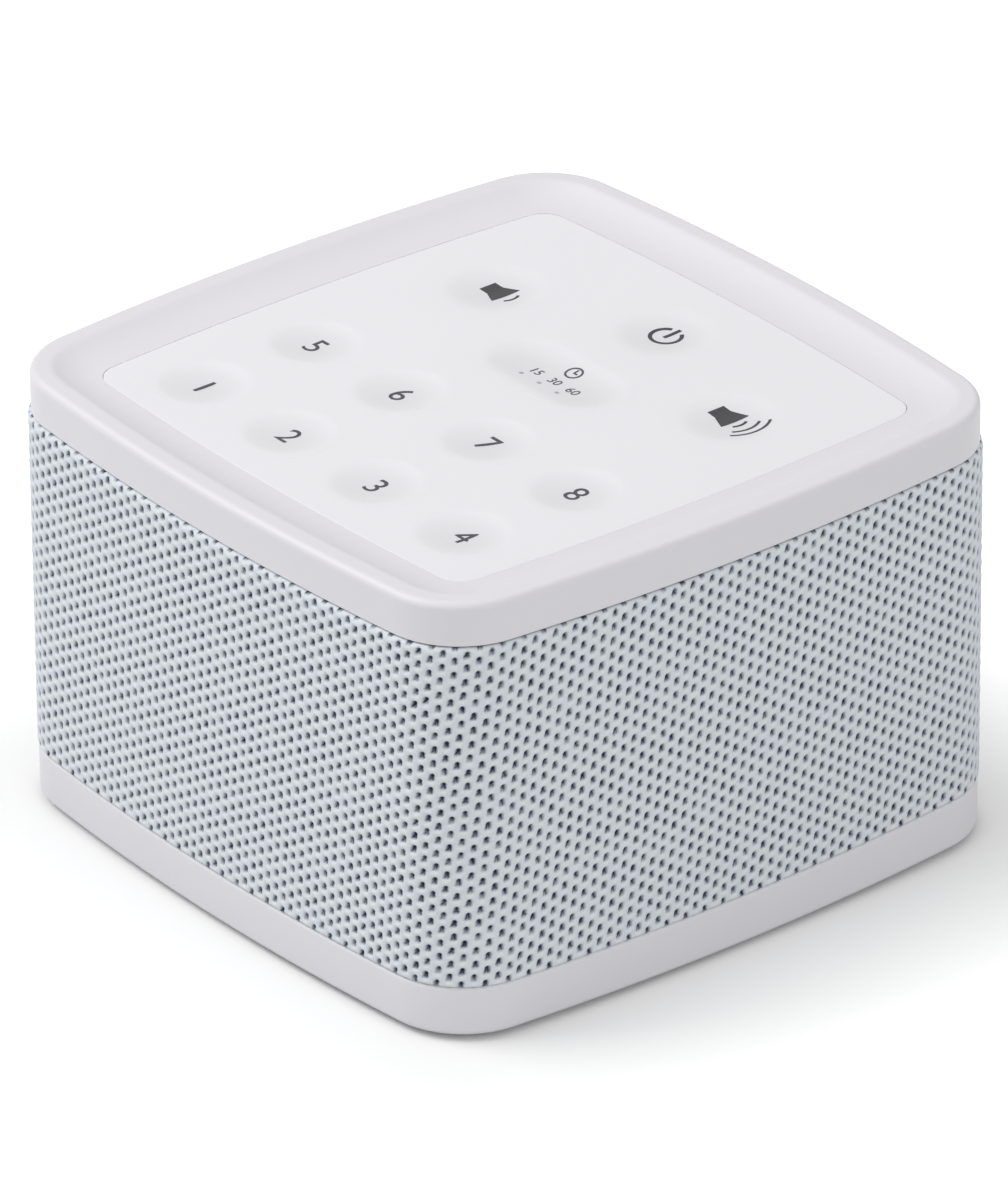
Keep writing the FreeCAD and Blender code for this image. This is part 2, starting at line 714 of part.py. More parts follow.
def capacitors():
    body = new_body("capacitors")
    body.AllowCompound = True
    places = (
        (10 - board_right, board_back - 15),
        (19 - board_right, board_back - 9),
        (board_right - 11, board_back - 14),
    )

    def cans(sketch):
        for x, y in places:
            draw_circle(sketch, x, y, S.capacitor_diameter / 2)

    pad(body, "cans", cans, board_bottom, S.capacitor_height, reverse=True)
    return body


def timer_lights():
    body = new_body("timer_lights")
    body.AllowCompound = True

    def drawing(sketch):
        for step in (-1, 0, 1):
            draw_rectangle(sketch, step * S.light_pitch, S.timer_row - S.light_offset, S.light_length,
                S.light_width)

    pad(body, "lights", drawing, board_top, S.light_width)
    return body


def screw(label, length, x, y, z):
    """A pan head screw with a cross slot. Its head's seat is at z, and its shank points up."""
    body = new_body(label)
    head, shank = S.screw_head / 2, S.screw_diameter / 2
    turned(body, "blank", [
        (0.0, -S.screw_head_height),
        (head * 0.7, -S.screw_head_height),
        (head, -S.screw_head_height * 0.4),
        (head, 0.0),
        (shank, 0.0),
        (shank, length - shank),
        (0.0, length),
    ])
    slots = (("slot_across", 2 * shank, S.drive_width), ("slot_along", S.drive_width, 2 * shank))
    for name, across, along in slots:
        pocket(body, name, lambda k, a=across, b=along: draw_rectangle(k, 0.0, 0.0, a, b),
            -S.screw_head_height, S.drive_depth, reverse=True)
    place_body(body, x, y, z)
    return body


def group(label, members):
    """Joins separate like pieces in one node, each still its own solid."""
    gathered = doc.addObject("Part::Compound", label)
    gathered.Label = label
    gathered.Links = members
    return gathered


def four_screws(label, length, x, y, z):
    members = []
    for side_x in (x, -x):
        for side_y in (y, -y):
            members.append(screw(f"{label}_{len(members) + 1}", length, side_x, side_y, z))
    return group(label, members)


def speaker_screws():
    """Four screws that lie front to back, with their heads on the basket's ears."""
    members = []
    for side_x in (ear_place, -ear_place):
        for side_z in (ear_place, -ear_place):
            body = screw(f"speaker_screws_{len(members) + 1}", S.speaker_screw, side_x,
                speaker_front + S.flange_rim, S.speaker_height + side_z)
            body.Placement.Rotation = FreeCAD.Rotation(FreeCAD.Vector(1, 0, 0), 90)
            members.append(body)
    return group("speaker_screws", members)


def fabric_sleeve():
    body = new_body("fabric_sleeve")
    bottom, top = band_top, parting - S.sleeve_gap
    pad(body, "blank", lambda k: draw_profile(k, case_corners(-S.sleeve_proud)), bottom, top - bottom)
    ease_edges(body, "soft_edges", (bottom, top), S.sleeve_ease)
    pocket(body, "inside", lambda k: draw_profile(k, case_corners(sleeve_inside)), top, top - bottom)
    return body


def grille_frame():
    """The inner housing: a bowed ring with sound slots all round, corner columns for the base screws,
    ears for the cover screws, and a ring and posts that the loudspeaker seats on."""
    body = new_body("grille_frame")
    height = parting - band_top
    pad(body, "blank", lambda k: draw_profile(k, case_corners(frame_outside)), band_top, height)
    pocket(body, "inside", lambda k: draw_profile(k, case_corners(frame_inside)), parting, height)
    middle = (band_top + parting) / 2
    count = int(S.slot_count.value)
    first = -S.slot_pitch * (S.slot_count - 1) / 2
    for name, plane in (("front_and_back", "XZ_Plane"), ("both_sides", "YZ_Plane")):
        sketch = new_sketch(body, name + "_slot", plane)
        radius = S.slot_width / 2
        arm = S.slot_height / 2 - radius
        draw_profile(sketch, [
            (first - radius, middle + arm),
            (first - radius, middle - arm, radius),
            (first + radius, middle - arm),
            (first + radius, middle + arm, radius),
        ])
        slot = new_feature(body, "Pocket", name, sketch, Length=S.case_width)
        slot.SideType = "Symmetric"
        body.Tip = slot
        doc.recompute()
        row = body.newObject("PartDesign::LinearPattern", name + "_row")
        row.Originals = [slot]
        row.Direction = (sketch, ["H_Axis"])
        row.Occurrences = count
        bind(row, "Length", S.slot_pitch * (S.slot_count - 1))
        body.Tip = row
        doc.recompute()
    column = round_at(S.column_radius)
    corner = column_place
    pad(body, "columns", all_four(column, corner, corner), band_top, S.column_height)
    pad(body, "ears", all_four(column, corner, corner), lug_bottom, S.lug_thickness)
    post_y = half_width - frame_outside - S.wall / 2

    def baffle(sketch):
        draw_circle(sketch, 0.0, S.speaker_height, speaker_radius + S.joined)
        draw_circle(sketch, 0.0, S.speaker_height, speaker_radius + S.joined - S.baffle_width)

    pad(body, "baffle", baffle, post_y, post_y + baffle_face, "XZ_Plane", reverse=True)

    def speaker_posts(radius):
        def drawing(sketch):
            for side_x in (ear_place, -ear_place):
                for side_z in (ear_place, -ear_place):
                    draw_circle(sketch, side_x, S.speaker_height + side_z, radius)
        return drawing

    pad(body, "speaker_posts", speaker_posts(ear_radius), post_y, post_y + speaker_front,
        "XZ_Plane", reverse=True)
    pocket(body, "speaker_seat", lambda k: draw_circle(k, 0.0, S.speaker_height, speaker_radius
        + S.screw_gap), -speaker_front, S.gasket_thickness, "XZ_Plane", reverse=True)
    hole = S.screw_diameter / 2 + S.screw_gap
    pocket(body, "column_holes", all_four(round_at(hole), corner, corner), band_top,
        S.column_height - S.wall / 2, reverse=True)
    pocket(body, "ear_holes", all_four(round_at(hole), corner, corner), lug_top, S.lug_thickness)
    pocket(body, "post_holes", speaker_posts(hole), -speaker_front, S.baffle_depth + S.gasket_thickness,
        "XZ_Plane", reverse=True)
    return body


def base_cap():
    """The base: a tapering band and floor with the locating ring, screw bosses and the battery bay."""
    body = new_body("base_cap")
    path = new_sketch(body, "band_path")
    draw_profile(path, case_corners(split=True))
    section = new_sketch(body, "band_section", "XZ_Plane")
    ring_end = spigot_inside + S.floor_lap
    foot, brim = S.band_inset_foot, S.band_inset_top

    def place(inset, height, *radius):
        return (half_width - inset, height, *radius)

    draw_profile(section, [
        place(foot + S.base_ease, base_bottom, S.base_ease),
        place(foot, base_bottom + S.base_ease),
        place(brim, band_top - S.band_ease, S.band_ease),
        place(brim + S.band_ease, band_top),
        place(spigot_outside, band_top),
        place(spigot_outside, band_top + S.spigot_depth),
        place(spigot_inside, band_top + S.spigot_depth),
        place(spigot_inside, floor_top),
        place(ring_end, floor_top),
        place(ring_end, base_bottom),
    ])
    band = body.newObject("PartDesign::AdditivePipe", "band")
    band.Profile = section
    band.Spine = (path, [f"Edge{n + 1}" for n in range(9)])
    pad(body, "floor", lambda k: draw_profile(k, case_corners(ring_end - S.joined)), base_bottom,
        S.base_floor)
    corner = column_place
    pad(body, "screw_bosses", all_four(round_at(S.column_radius), corner, corner), floor_top,
        band_top - floor_top)
    middle = bay_middle
    plinth = S.door_lap + S.bay_wall
    pad(body, "bay_plinth", lambda k: draw_rectangle(k, 0.0, middle, bay_width + 2 * plinth,
        bay_length + 2 * plinth), base_bottom, S.door_thickness + S.cell_gap / 2 + S.bay_wall)
    pad(body, "bay_walls", lambda k: draw_rectangle(k, 0.0, middle, bay_width + 2 * S.bay_wall,
        bay_length + 2 * S.bay_wall), base_bottom, bay_roof + S.bay_wall - base_bottom)
    pocket(body, "bay", lambda k: draw_rectangle(k, 0.0, middle, bay_width, bay_length),
        base_bottom, bay_roof - base_bottom, reverse=True)

    def cell_ribs(sketch):
        for number in range(1, int(S.cell_count.value)):
            x = (number - S.cell_count / 2) * (S.cell_diameter + S.cell_gap)
            draw_rectangle(sketch, x, middle, S.rib_width, S.rib_length)

    pad(body, "cell_ribs", cell_ribs, bay_roof, S.rib_height, reverse=True)
    recess = S.door_thickness + S.cell_gap / 2
    pad(body, "latch_roof", lambda k: draw_rectangle(k, 0.0, latch_middle, S.latch_width + 2 * plinth,
        S.latch_length + 2 * S.bay_wall), floor_top, S.bay_wall)
    pocket(body, "door_recess", lambda k: draw_rectangle(k, 0.0, middle, door_width + 2 * S.door_gap,
        door_length + 2 * S.door_gap), base_bottom, recess, reverse=True)
    pocket(body, "latch_notch", lambda k: draw_rectangle(k, 0.0, latch_middle, S.latch_width
        + 2 * S.door_gap, S.latch_length + 2 * S.door_gap), base_bottom, recess, reverse=True)

    def pivot_holes(sketch):
        draw_circle(sketch, pivot_y, pivot_z, S.door_pin / 2 + S.running_gap)

    reach = door_width / 2 + S.door_pin_length + S.door_gap
    holes = pocket(body, "pivot_holes", pivot_holes, 0.0, 2 * reach, "YZ_Plane")
    holes.SideType = "Symmetric"
    pocket(body, "column_notches", all_four(round_at(S.column_radius + S.fit_gap), corner, corner),
        band_top + S.spigot_depth, S.spigot_depth)
    hole = S.screw_diameter / 2 + S.screw_gap
    seat = base_bottom + S.foot_recess
    pocket(body, "foot_recesses", all_four(round_at(S.foot_diameter / 2 + S.screw_gap), corner, corner),
        base_bottom, S.foot_recess, reverse=True)
    pocket(body, "head_recesses", all_four(round_at(S.screw_head / 2 + S.screw_gap), corner, corner),
        seat, S.screw_head_height + S.fit_gap, reverse=True)
    pocket(body, "screw_holes", all_four(round_at(hole), corner, corner), seat,
        band_top - seat, reverse=True)
    # The power socket sits behind a thick wall at the back, with a small flat round its bore
    pad(body, "socket_block", lambda k: draw_rectangle(k, socket_side, socket_mouth + S.socket_wall / 2,
        S.socket_body + 2 * S.bay_wall, S.socket_wall), floor_top, band_top - floor_top)
    pocket(body, "socket_flat", lambda k: draw_circle(k, socket_side, socket_z, S.socket_flat),
        -socket_face, S.wall + S.socket_wall, "XZ_Plane")
    pocket(body, "socket_bore", lambda k: draw_circle(k, socket_side, socket_z, S.socket_bore / 2),
        -socket_mouth, S.wall + 2 * S.socket_wall, "XZ_Plane")
    return body


socket_z = floor_top + S.socket_body / 2
socket_side = half_width - S.socket_side_gap
socket_face = half_width - S.socket_setback
socket_mouth = socket_face - S.socket_wall
socket_end = S.socket_length - S.socket_end_wall - socket_mouth
door_width = bay_width + 2 * (S.door_lap - S.door_gap)
door_length = bay_length + 2 * (S.door_lap - S.door_gap)
door_front = bay_middle - door_length / 2
pivot_y = bay_middle + door_length / 2 - S.door_thickness / 2
pivot_z = base_bottom + S.door_thickness / 2
latch_middle = door_front - S.latch_length / 2


def battery_door():
    """A flat door with a round nose and two pivot pins at the back, and a latch tongue in front."""
    body = new_body("battery_door")
    nose = S.door_thickness / 2
    sketch = new_sketch(body, "side_outline", "YZ_Plane")
    draw_profile(sketch, [
        (door_front, base_bottom),
        (pivot_y, base_bottom, nose),
        (pivot_y, base_bottom + S.door_thickness),
        (door_front, base_bottom + S.door_thickness),
    ])
    plate = new_feature(body, "Pad", "plate", sketch, Length=door_width)
    plate.SideType = "Symmetric"
    pins = pad(body, "pivot_pins", lambda k: draw_circle(k, pivot_y, pivot_z, S.door_pin / 2), 0.0,
        door_width + 2 * S.door_pin_length, "YZ_Plane")
    pins.SideType = "Symmetric"
    pad(body, "latch_tongue", lambda k: draw_rectangle(k, 0.0, latch_middle, S.latch_width,
        S.latch_length), base_bottom, S.door_thickness)
    dip = door_front + S.grip_place
    pocket(body, "finger_dip", lambda k: draw_obround(k, 0.0, dip, S.grip_width, S.dip_width),
        base_bottom, S.dip_depth, reverse=True)

    def grip_lines(sketch):
        for step in range(2, 5):
            draw_rectangle(sketch, 0.0, dip + step * S.grip_pitch, S.grip_width, S.grip_line)

    pocket(body, "grip_lines", grip_lines, base_bottom, S.grip_depth, reverse=True)
    return body


def cell_columns():
    count = int(S.cell_count.value)
    return [(n + 0.5 - S.cell_count / 2) * (S.cell_diameter + S.cell_gap) for n in range(count)]


def battery_cells():
    """Four AA cells side by side, each turned the other way from its neighbours."""
    members = []
    for number, x in enumerate(cell_columns()):
        body = new_body(f"cell_{number + 1}")
        radius, ease, nub = S.cell_diameter / 2, S.cell_ease, S.nub_diameter / 2
        turned(body, "can", [
            (0.0, 0.0),
            (radius - ease, 0.0),
            (radius, ease),
            (radius, S.cell_length - ease),
            (radius - ease, S.cell_length),
            (nub, S.cell_length),
            (nub, S.cell_length + S.cell_nub),
            (0.0, S.cell_length + S.cell_nub),
        ])
        forward = number % 2 == 0
        sign = 1 if forward else -1
        body.Placement.Rotation = FreeCAD.Rotation(FreeCAD.Vector(1, 0, 0), 90 * sign)
        start = (S.cell_length + S.cell_nub) / 2
        place_body(body, x, bay_middle + start * sign, cell_bottom + S.cell_diameter / 2)
        members.append(body)
    return group("battery_cells", members)


def battery_contacts():
    """Bent strips at both ends of the bay. Each stands against the end wall and bows out to its cell."""
    members = []
    strip = S.contact_thickness
    low = cell_bottom + S.contact_foot
    high = low + S.contact_height
    middle = cell_bottom + S.cell_diameter / 2
    for end in (1, -1):
        wall = bay_middle + end * bay_length / 2
        tip = bay_middle + end * (S.cell_length + S.cell_nub) / 2
        inner = wall - end * strip
        back = tip + end * strip
        for number, x in enumerate(cell_columns()):
            body = new_body(f"contact_{'back' if end > 0 else 'front'}_{number + 1}")
            sketch = new_sketch(body, "side_outline", "YZ_Plane")
            draw_profile(sketch, [
                (wall, high), (inner, high), (inner, low + strip),
                (back, middle - S.contact_pad), (back, middle + S.contact_pad),
                (back + end * 2 * strip, middle + 2 * S.contact_pad),
                (back + end * strip, middle + 2 * S.contact_pad + strip / 2),
                (tip, middle + S.contact_pad), (tip, middle - S.contact_pad),
                (inner - end * strip / 2, low), (wall, low),
            ])
            feature = new_feature(body, "Pad", "strip", sketch, Length=S.contact_width)
            feature.SideType = "Symmetric"
            place_body(body, x)
            members.append(body)
    return group("battery_contacts", members)


def speaker_part(label, corners):
    """A turned piece of the loudspeaker, drawn in the loudspeaker's own frame and stood on its side."""
    body = new_body(label)
    turned(body, label + "_turned", corners)
    body.Placement.Rotation = FreeCAD.Rotation(FreeCAD.Vector(1, 0, 0), 90)
    place_body(body, 0.0, speaker_front, S.speaker_height)
    return body


gap_inner = S.coil_radius - S.coil_gap
gap_outer = S.coil_radius + S.coil_gap
rim_inside = speaker_radius - S.surround_width
magnet_radius = S.magnet_diameter / 2
plate_edge = magnet_radius - S.wall / 2
wall_foot = magnet_radius - 2 * S.basket_sheet
top_plate_z = -S.basket_depth
magnet_z = top_plate_z - S.plate_thickness
yoke_z = magnet_z - S.magnet_thickness
neck_radius = S.coil_radius + S.former_wall / 4
neck_z = S.neck_rise - S.basket_depth
roll_radius = S.wall / 2
roll_start = rim_inside - 2 * roll_radius
cone_edge = roll_start - S.fit_gap


def speaker_basket():
    """A stamped basket: a flat rim with four ears, a sloping wall with four windows, and a floor."""
    sheet_metal = S.basket_sheet
    floor_hole = gap_outer + 2 * sheet_metal
    body = speaker_part("speaker_basket", [
        (rim_inside, 0.0),
        (rim_inside, -S.flange_rim - sheet_metal / 2),
        (wall_foot, top_plate_z + sheet_metal),
        (floor_hole, top_plate_z + sheet_metal),
        (floor_hole, top_plate_z),
        (wall_foot + sheet_metal / 2, top_plate_z),
        (rim_inside + sheet_metal, -S.flange_rim),
        (speaker_radius, -S.flange_rim),
        (speaker_radius, 0.0),
    ])
    window = new_sketch(body, "window_outline", "XZ_Plane")
    low = top_plate_z + 3 * sheet_metal
    high = -S.flange_rim - sheet_metal
    start = wall_foot - sheet_metal
    draw_profile(window, [(start, low), (speaker_radius, low), (speaker_radius, high), (start, high)])
    opening = new_feature(body, "Pocket", "window", window, Length=S.magnet_diameter / 2)
    opening.SideType = "Symmetric"
    body.Tip = opening
    doc.recompute()
    ring = body.newObject("PartDesign::PolarPattern", "windows")
    ring.Originals = [opening]
    ring.Axis = (window, ["V_Axis"])
    ring.Angle = 360
    ring.Occurrences = 4
    body.Tip = ring
    doc.recompute()
    pad(body, "ears", all_four(round_at(ear_radius), ear_place, ear_place), -S.flange_rim, S.flange_rim)
    pocket(body, "ear_holes", all_four(round_at(S.screw_diameter / 2 + S.screw_gap), ear_place,
        ear_place), 0.0, S.flange_rim)
    return body


def speaker_magnet_pieces():
    """The top plate, the ring magnet, and the yoke whose pole stands inside them."""
    clear = gap_outer + S.plate_thickness
    ease = S.basket_sheet / 2
    plate = speaker_part("speaker_top_plate", [
        (gap_outer, top_plate_z), (gap_outer, magnet_z), (plate_edge, magnet_z), (plate_edge, top_plate_z),
    ])
    magnet = speaker_part("speaker_magnet", [
        (clear, magnet_z), (clear, yoke_z), (magnet_radius - ease, yoke_z), (magnet_radius, yoke_z + ease),
        (magnet_radius, magnet_z - ease), (magnet_radius - ease, magnet_z),
    ])
    yoke = speaker_part("speaker_yoke", [
        (0.0, yoke_z - S.plate_thickness), (plate_edge, yoke_z - S.plate_thickness),
        (plate_edge + ease, yoke_z), (gap_inner, yoke_z), (gap_inner, top_plate_z), (0.0, top_plate_z),
    ])
    return {"speaker_top_plate": plate, "speaker_magnet": magnet, "speaker_yoke": yoke}


def speaker_moving_pieces():
    """The coil on its tube, the cone glued to it, and the domed dust cap over the cone's neck."""
    former_inside = neck_radius - S.former_wall
    coil_outside = neck_radius + S.former_wall
    coil_end = magnet_z - S.plate_thickness
    coil = speaker_part("voice_coil", [
        (former_inside, neck_z), (neck_radius, neck_z), (neck_radius, top_plate_z),
        (coil_outside, top_plate_z), (coil_outside, coil_end), (former_inside, coil_end),
    ])
    cone = speaker_part("speaker_cone", [
        (neck_radius, neck_z - S.cone_sheet), (cone_edge, -S.cone_sheet), (cone_edge, 0.0),
        (neck_radius, neck_z),
    ])
    slope = -neck_z / (cone_edge - neck_radius)
    edge = neck_radius + S.dome_lap
    edge_z = neck_z + S.dome_lap * slope + S.dome_lift
    curve = (edge * edge + S.dome_rise * S.dome_rise) / (2 * S.dome_rise)
    inner_share = 1 - S.dome_sheet / curve
    centre_z = edge_z + S.dome_rise - curve
    dome = speaker_part("dust_cap", [
        (0.0, centre_z + curve - S.dome_sheet),
        (0.0, centre_z + curve, -curve),
        (edge, edge_z),
        (edge * inner_share, centre_z + (edge_z - centre_z) * inner_share, curve - S.dome_sheet),
    ])
    return {"voice_coil": coil, "speaker_cone": cone, "dust_cap": dome}


def speaker_soft_pieces():
    """The foam gasket in front of the rim, the rolled surround, and the wavy spider."""
    gasket = speaker_part("speaker_gasket", [
        (speaker_radius - S.wall, 0.0), (speaker_radius, 0.0),
        (speaker_radius, S.gasket_thickness), (speaker_radius - S.wall, S.gasket_thickness),
    ])
    skin = S.cone_sheet / 2
    roll_end = roll_start + 2 * roll_radius
    skin_edge = speaker_radius - S.wall - S.fit_gap
    roll_foot = roll_start + roll_radius + root(roll_radius * roll_radius - skin * skin)
    surround = speaker_part("speaker_surround", [
        (roll_start, 0.0),
        (roll_start + skin, 0.0, skin - roll_radius),
        (roll_end - skin, 0.0),
        (skin_edge, 0.0),
        (skin_edge, skin),
        (roll_foot, skin, roll_radius),
    ])
    spider_edge = plate_edge - S.cone_sheet
    spider_z = neck_z - S.wall
    upper, lower = [], []
    for step in range(7):
        radius = gap_outer + (spider_edge - gap_outer) * step / 6
        height = spider_z + (S.spider_wave if step % 2 else -S.spider_wave)
        upper.insert(0, (radius, height + S.spider_wave / 2))
        lower.append((radius, height - S.spider_wave / 2))
    spider = speaker_part("speaker_spider", lower + upper)
    return {"speaker_gasket": gasket, "speaker_surround": surround, "speaker_spider": spider}


def speaker_pieces():
    pieces = {"speaker_basket": speaker_basket()}
    pieces.update(speaker_magnet_pieces())
    pieces.update(speaker_moving_pieces())
    pieces.update(speaker_soft_pieces())
    return pieces


def power_socket():
    """A square-bodied round socket: a blind bore that opens to the back."""
    body = new_body("power_socket")
    pad(body, "housing", lambda k: draw_rectangle(k, socket_side, socket_z, S.socket_body, S.socket_body),
        -socket_mouth, S.socket_length, "XZ_Plane")
    pocket(body, "bore", lambda k: draw_circle(k, socket_side, socket_z, S.jack_bore / 2),
        socket_end, S.socket_length - S.socket_end_wall, "XZ_Plane")
    return body


def socket_pin():
    body = new_body("socket_pin")
    pad(body, "pin", lambda k: draw_circle(k, socket_side, socket_z, S.socket_pin / 2), socket_end,
        S.socket_length - S.socket_end_wall - S.pin_setback, "XZ_Plane", reverse=True)
    return body


def rubber_feet():
    body = new_body("rubber_feet")
    body.AllowCompound = True
    corner = column_place
    pad(body, "feet", all_four(round_at(S.foot_diameter / 2), corner, corner), 0.0,
        base_bottom + S.foot_recess)
    ease_edges(body, "lower_ease", (as_size(0.0),), S.foot_ease)
    return body


nodes = {}
nodes["top_cover"] = top_cover()
nodes["control_overlay"] = control_overlay()
for label, (x, y) in round_keys.items():
    nodes[label] = round_key(label, x, y)
nodes["timer_key"] = timer_key()
switch_places = list(round_keys.values()) + [timer_switch_place]
for (x, y), label in zip(switch_places, list(round_keys) + ["timer_key"]):
    stem = label.replace("_key", "") + "_stem"
    nodes[stem] = switch_stem(stem, x, y)
nodes["switch_housings"] = switch_housings(switch_places)
nodes["main_board"] = main_board()
nodes["board_chips"] = blocks("board_chips", [
    (6.0, 22.0, 10.0, 7.6, 1.6),
    (-10.0, 24.0, 6.0, 5.0, 1.5),
])
nodes["lead_sockets"] = blocks("lead_sockets", [
    (x, board_back - 6, 6.0, 4.4, 5.0) for x in (-10.0, 2.0, 14.0)
])
nodes["capacitors"] = capacitors()
nodes["timer_lights"] = timer_lights()
nodes["board_screws"] = four_screws("board_screws", S.screw_length, board_screw_x, S.board_screw_y,
    board_bottom)
nodes["cover_screws"] = four_screws("cover_screws", S.screw_length, column_place, column_place,
    lug_bottom)
nodes["base_screws"] = four_screws("base_screws", S.base_screw_length, column_place, column_place,
    base_bottom + S.foot_recess + S.screw_head_height + S.fit_gap)
nodes["fabric_sleeve"] = fabric_sleeve()
nodes["grille_frame"] = grille_frame()
nodes["base_cap"] = base_cap()
nodes["battery_door"] = battery_door()
nodes["battery_cells"] = battery_cells()
nodes["battery_contacts"] = battery_contacts()
nodes.update(speaker_pieces())
nodes["power_socket"] = power_socket()
nodes["socket_pin"] = socket_pin()
nodes["rubber_feet"] = rubber_feet()
nodes["speaker_screws"] = speaker_screws()
doc.recompute()
for thing in doc.Objects:
    if "Invalid" in thing.State or "Error" in thing.State:
        raise RuntimeError(f"{thing.Name} failed: {thing.getStatusString()}")
os.makedirs("parts", exist_ok=True)
for label, node in nodes.items():
    shape = node.Shape
    if shape.isNull() or not shape.isValid():
        raise RuntimeError(f"{label} has no valid shape")
    shape.exportStep(f"parts/{label}.step")
    box = shape.optimalBoundingBox(False, False)
    corners = (box.XMin, box.XMax, box.YMin, box.YMax, box.ZMin, box.ZMax)
    print(label, len(shape.Solids), round(shape.Volume, 1), [round(value, 2) for value in corners])
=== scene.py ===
import json
import math

import bmesh
import bpy
import numpy as np
from mathutils import Matrix, Vector


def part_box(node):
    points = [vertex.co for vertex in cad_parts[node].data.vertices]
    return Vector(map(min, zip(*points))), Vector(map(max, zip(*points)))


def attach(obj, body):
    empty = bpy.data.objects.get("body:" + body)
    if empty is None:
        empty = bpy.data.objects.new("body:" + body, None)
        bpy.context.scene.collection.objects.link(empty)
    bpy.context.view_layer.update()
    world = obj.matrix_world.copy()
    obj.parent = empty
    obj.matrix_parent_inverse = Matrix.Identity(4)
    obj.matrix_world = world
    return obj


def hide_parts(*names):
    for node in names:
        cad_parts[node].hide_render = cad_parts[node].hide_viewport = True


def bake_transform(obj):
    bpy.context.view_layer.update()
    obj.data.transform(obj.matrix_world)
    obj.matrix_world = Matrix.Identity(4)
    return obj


bl_info = {
    "name": "Sound Machine",
    "version": (1, 0, 0),
    "blender": (4, 5, 0),
    "location": "View3D > Sidebar > Sound Machine",
    "description": "Dresses a bedside sound machine: knitted sleeve, touch panel, keys and their marks",
    "category": "Object",
}

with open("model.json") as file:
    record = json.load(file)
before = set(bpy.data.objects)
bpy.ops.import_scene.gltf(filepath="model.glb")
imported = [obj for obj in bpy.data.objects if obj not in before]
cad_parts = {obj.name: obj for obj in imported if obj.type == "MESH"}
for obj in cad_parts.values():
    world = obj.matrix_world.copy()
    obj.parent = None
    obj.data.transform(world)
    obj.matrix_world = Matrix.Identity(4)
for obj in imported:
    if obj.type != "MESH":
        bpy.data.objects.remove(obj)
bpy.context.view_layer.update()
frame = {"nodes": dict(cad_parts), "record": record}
MM = 0.001

# Heights and widths that the frame gives
COVER_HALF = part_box("top_cover")[1][0]
SLEEVE_LOW, SLEEVE_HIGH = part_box("fabric_sleeve")
SKIN_LOW, SKIN_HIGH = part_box("control_overlay")
PANEL_TOP = SKIN_HIGH[2]
SOUND_KEYS = [f"sound_key_{number}" for number in range(1, 9)]
ROUND_KEYS = SOUND_KEYS + ["volume_down_key", "volume_up_key", "power_key"]
TIMER_KEY = "timer_key"
ALL_KEYS = ROUND_KEYS + [TIMER_KEY]


def middle_of(node):
    low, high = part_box(node)
    return (low[0] + high[0]) / 2, (low[1] + high[1]) / 2


class SleeveSizes(bpy.types.PropertyGroup):
    """Sizes and colours of the knitted sleeve"""

    side_radius: bpy.props.FloatProperty(
        name="Side radius", description="Radius of each bowed side of the case", default=0.42, unit="LENGTH")
    corner_radius: bpy.props.FloatProperty(
        name="Corner radius", description="Radius of the case's upright corners", default=0.013,
        unit="LENGTH")
    column_pitch: bpy.props.FloatProperty(
        name="Column pitch", description="Distance between two columns of holes", default=0.00171,
        unit="LENGTH")
    row_pitch: bpy.props.FloatProperty(
        name="Row pitch", description="Distance between two holes in a column", default=0.00223,
        unit="LENGTH")
    lean: bpy.props.FloatProperty(
        name="Lean", description="How far the columns lean to the right", default=math.radians(5.2),
        subtype="ANGLE")
    hole_depth: bpy.props.FloatProperty(
        name="Hole depth", description="Depth of a hole in the knit", default=0.00085, unit="LENGTH")
    edge_curl: bpy.props.FloatProperty(
        name="Edge curl", description="Rounding of the sleeve's upper and lower edges", default=0.0007,
        unit="LENGTH")
    yarn: bpy.props.FloatVectorProperty(
        name="Yarn", description="Colour of the yarn", subtype="COLOR", size=3, min=0, max=1,
        default=(0.83, 0.885, 0.98))
    # Painted shade: the knit's holes, gaps and basins darken towards this colour
    shade: bpy.props.FloatVectorProperty(
        name="Hole shade", description="Colour inside the holes", subtype="COLOR", size=3, min=0, max=1,
        default=(0.018, 0.026, 0.075))


class PanelSizes(bpy.types.PropertyGroup):
    """Sizes and colours of the touch panel, its keys and their marks"""

    side_radius: bpy.props.FloatProperty(
        name="Side radius", description="Radius of each bowed side of the touch panel", default=0.52,
        unit="LENGTH")
    corner_radius: bpy.props.FloatProperty(
        name="Corner radius", description="Corner radius of the touch panel", default=0.00385, unit="LENGTH")
    key_radius: bpy.props.FloatProperty(
        name="Key radius", description="Radius of a round key's dish", default=0.0067, unit="LENGTH")
    timer_radius: bpy.props.FloatProperty(
        name="Timer radius", description="Half width of the timer key's dish", default=0.0059, unit="LENGTH")
    dish_depth: bpy.props.FloatProperty(
        name="Dish depth", description="Depth of a key's dish", default=0.0009, unit="LENGTH")
    softness: bpy.props.FloatProperty(
        name="Softness", description="Rounding where a dish meets the flat panel", default=0.00016,
        unit="LENGTH")
    brim: bpy.props.FloatProperty(
        name="Brim", description="Flat ring round each dish", default=0.0015, unit="LENGTH")
    number_height: bpy.props.FloatProperty(
        name="Number height", description="Height of the numbers on the sound keys", default=0.0040,
        unit="LENGTH")
    ink: bpy.props.FloatVectorProperty(
        name="Ink", description="Colour of the printed marks", subtype="COLOR", size=3, min=0, max=1,
        default=(0.085, 0.085, 0.095))
    skin: bpy.props.FloatVectorProperty(
        name="Skin", description="Colour of the touch panel", subtype="COLOR", size=3, min=0, max=1,
        default=(0.915, 0.905, 0.935))


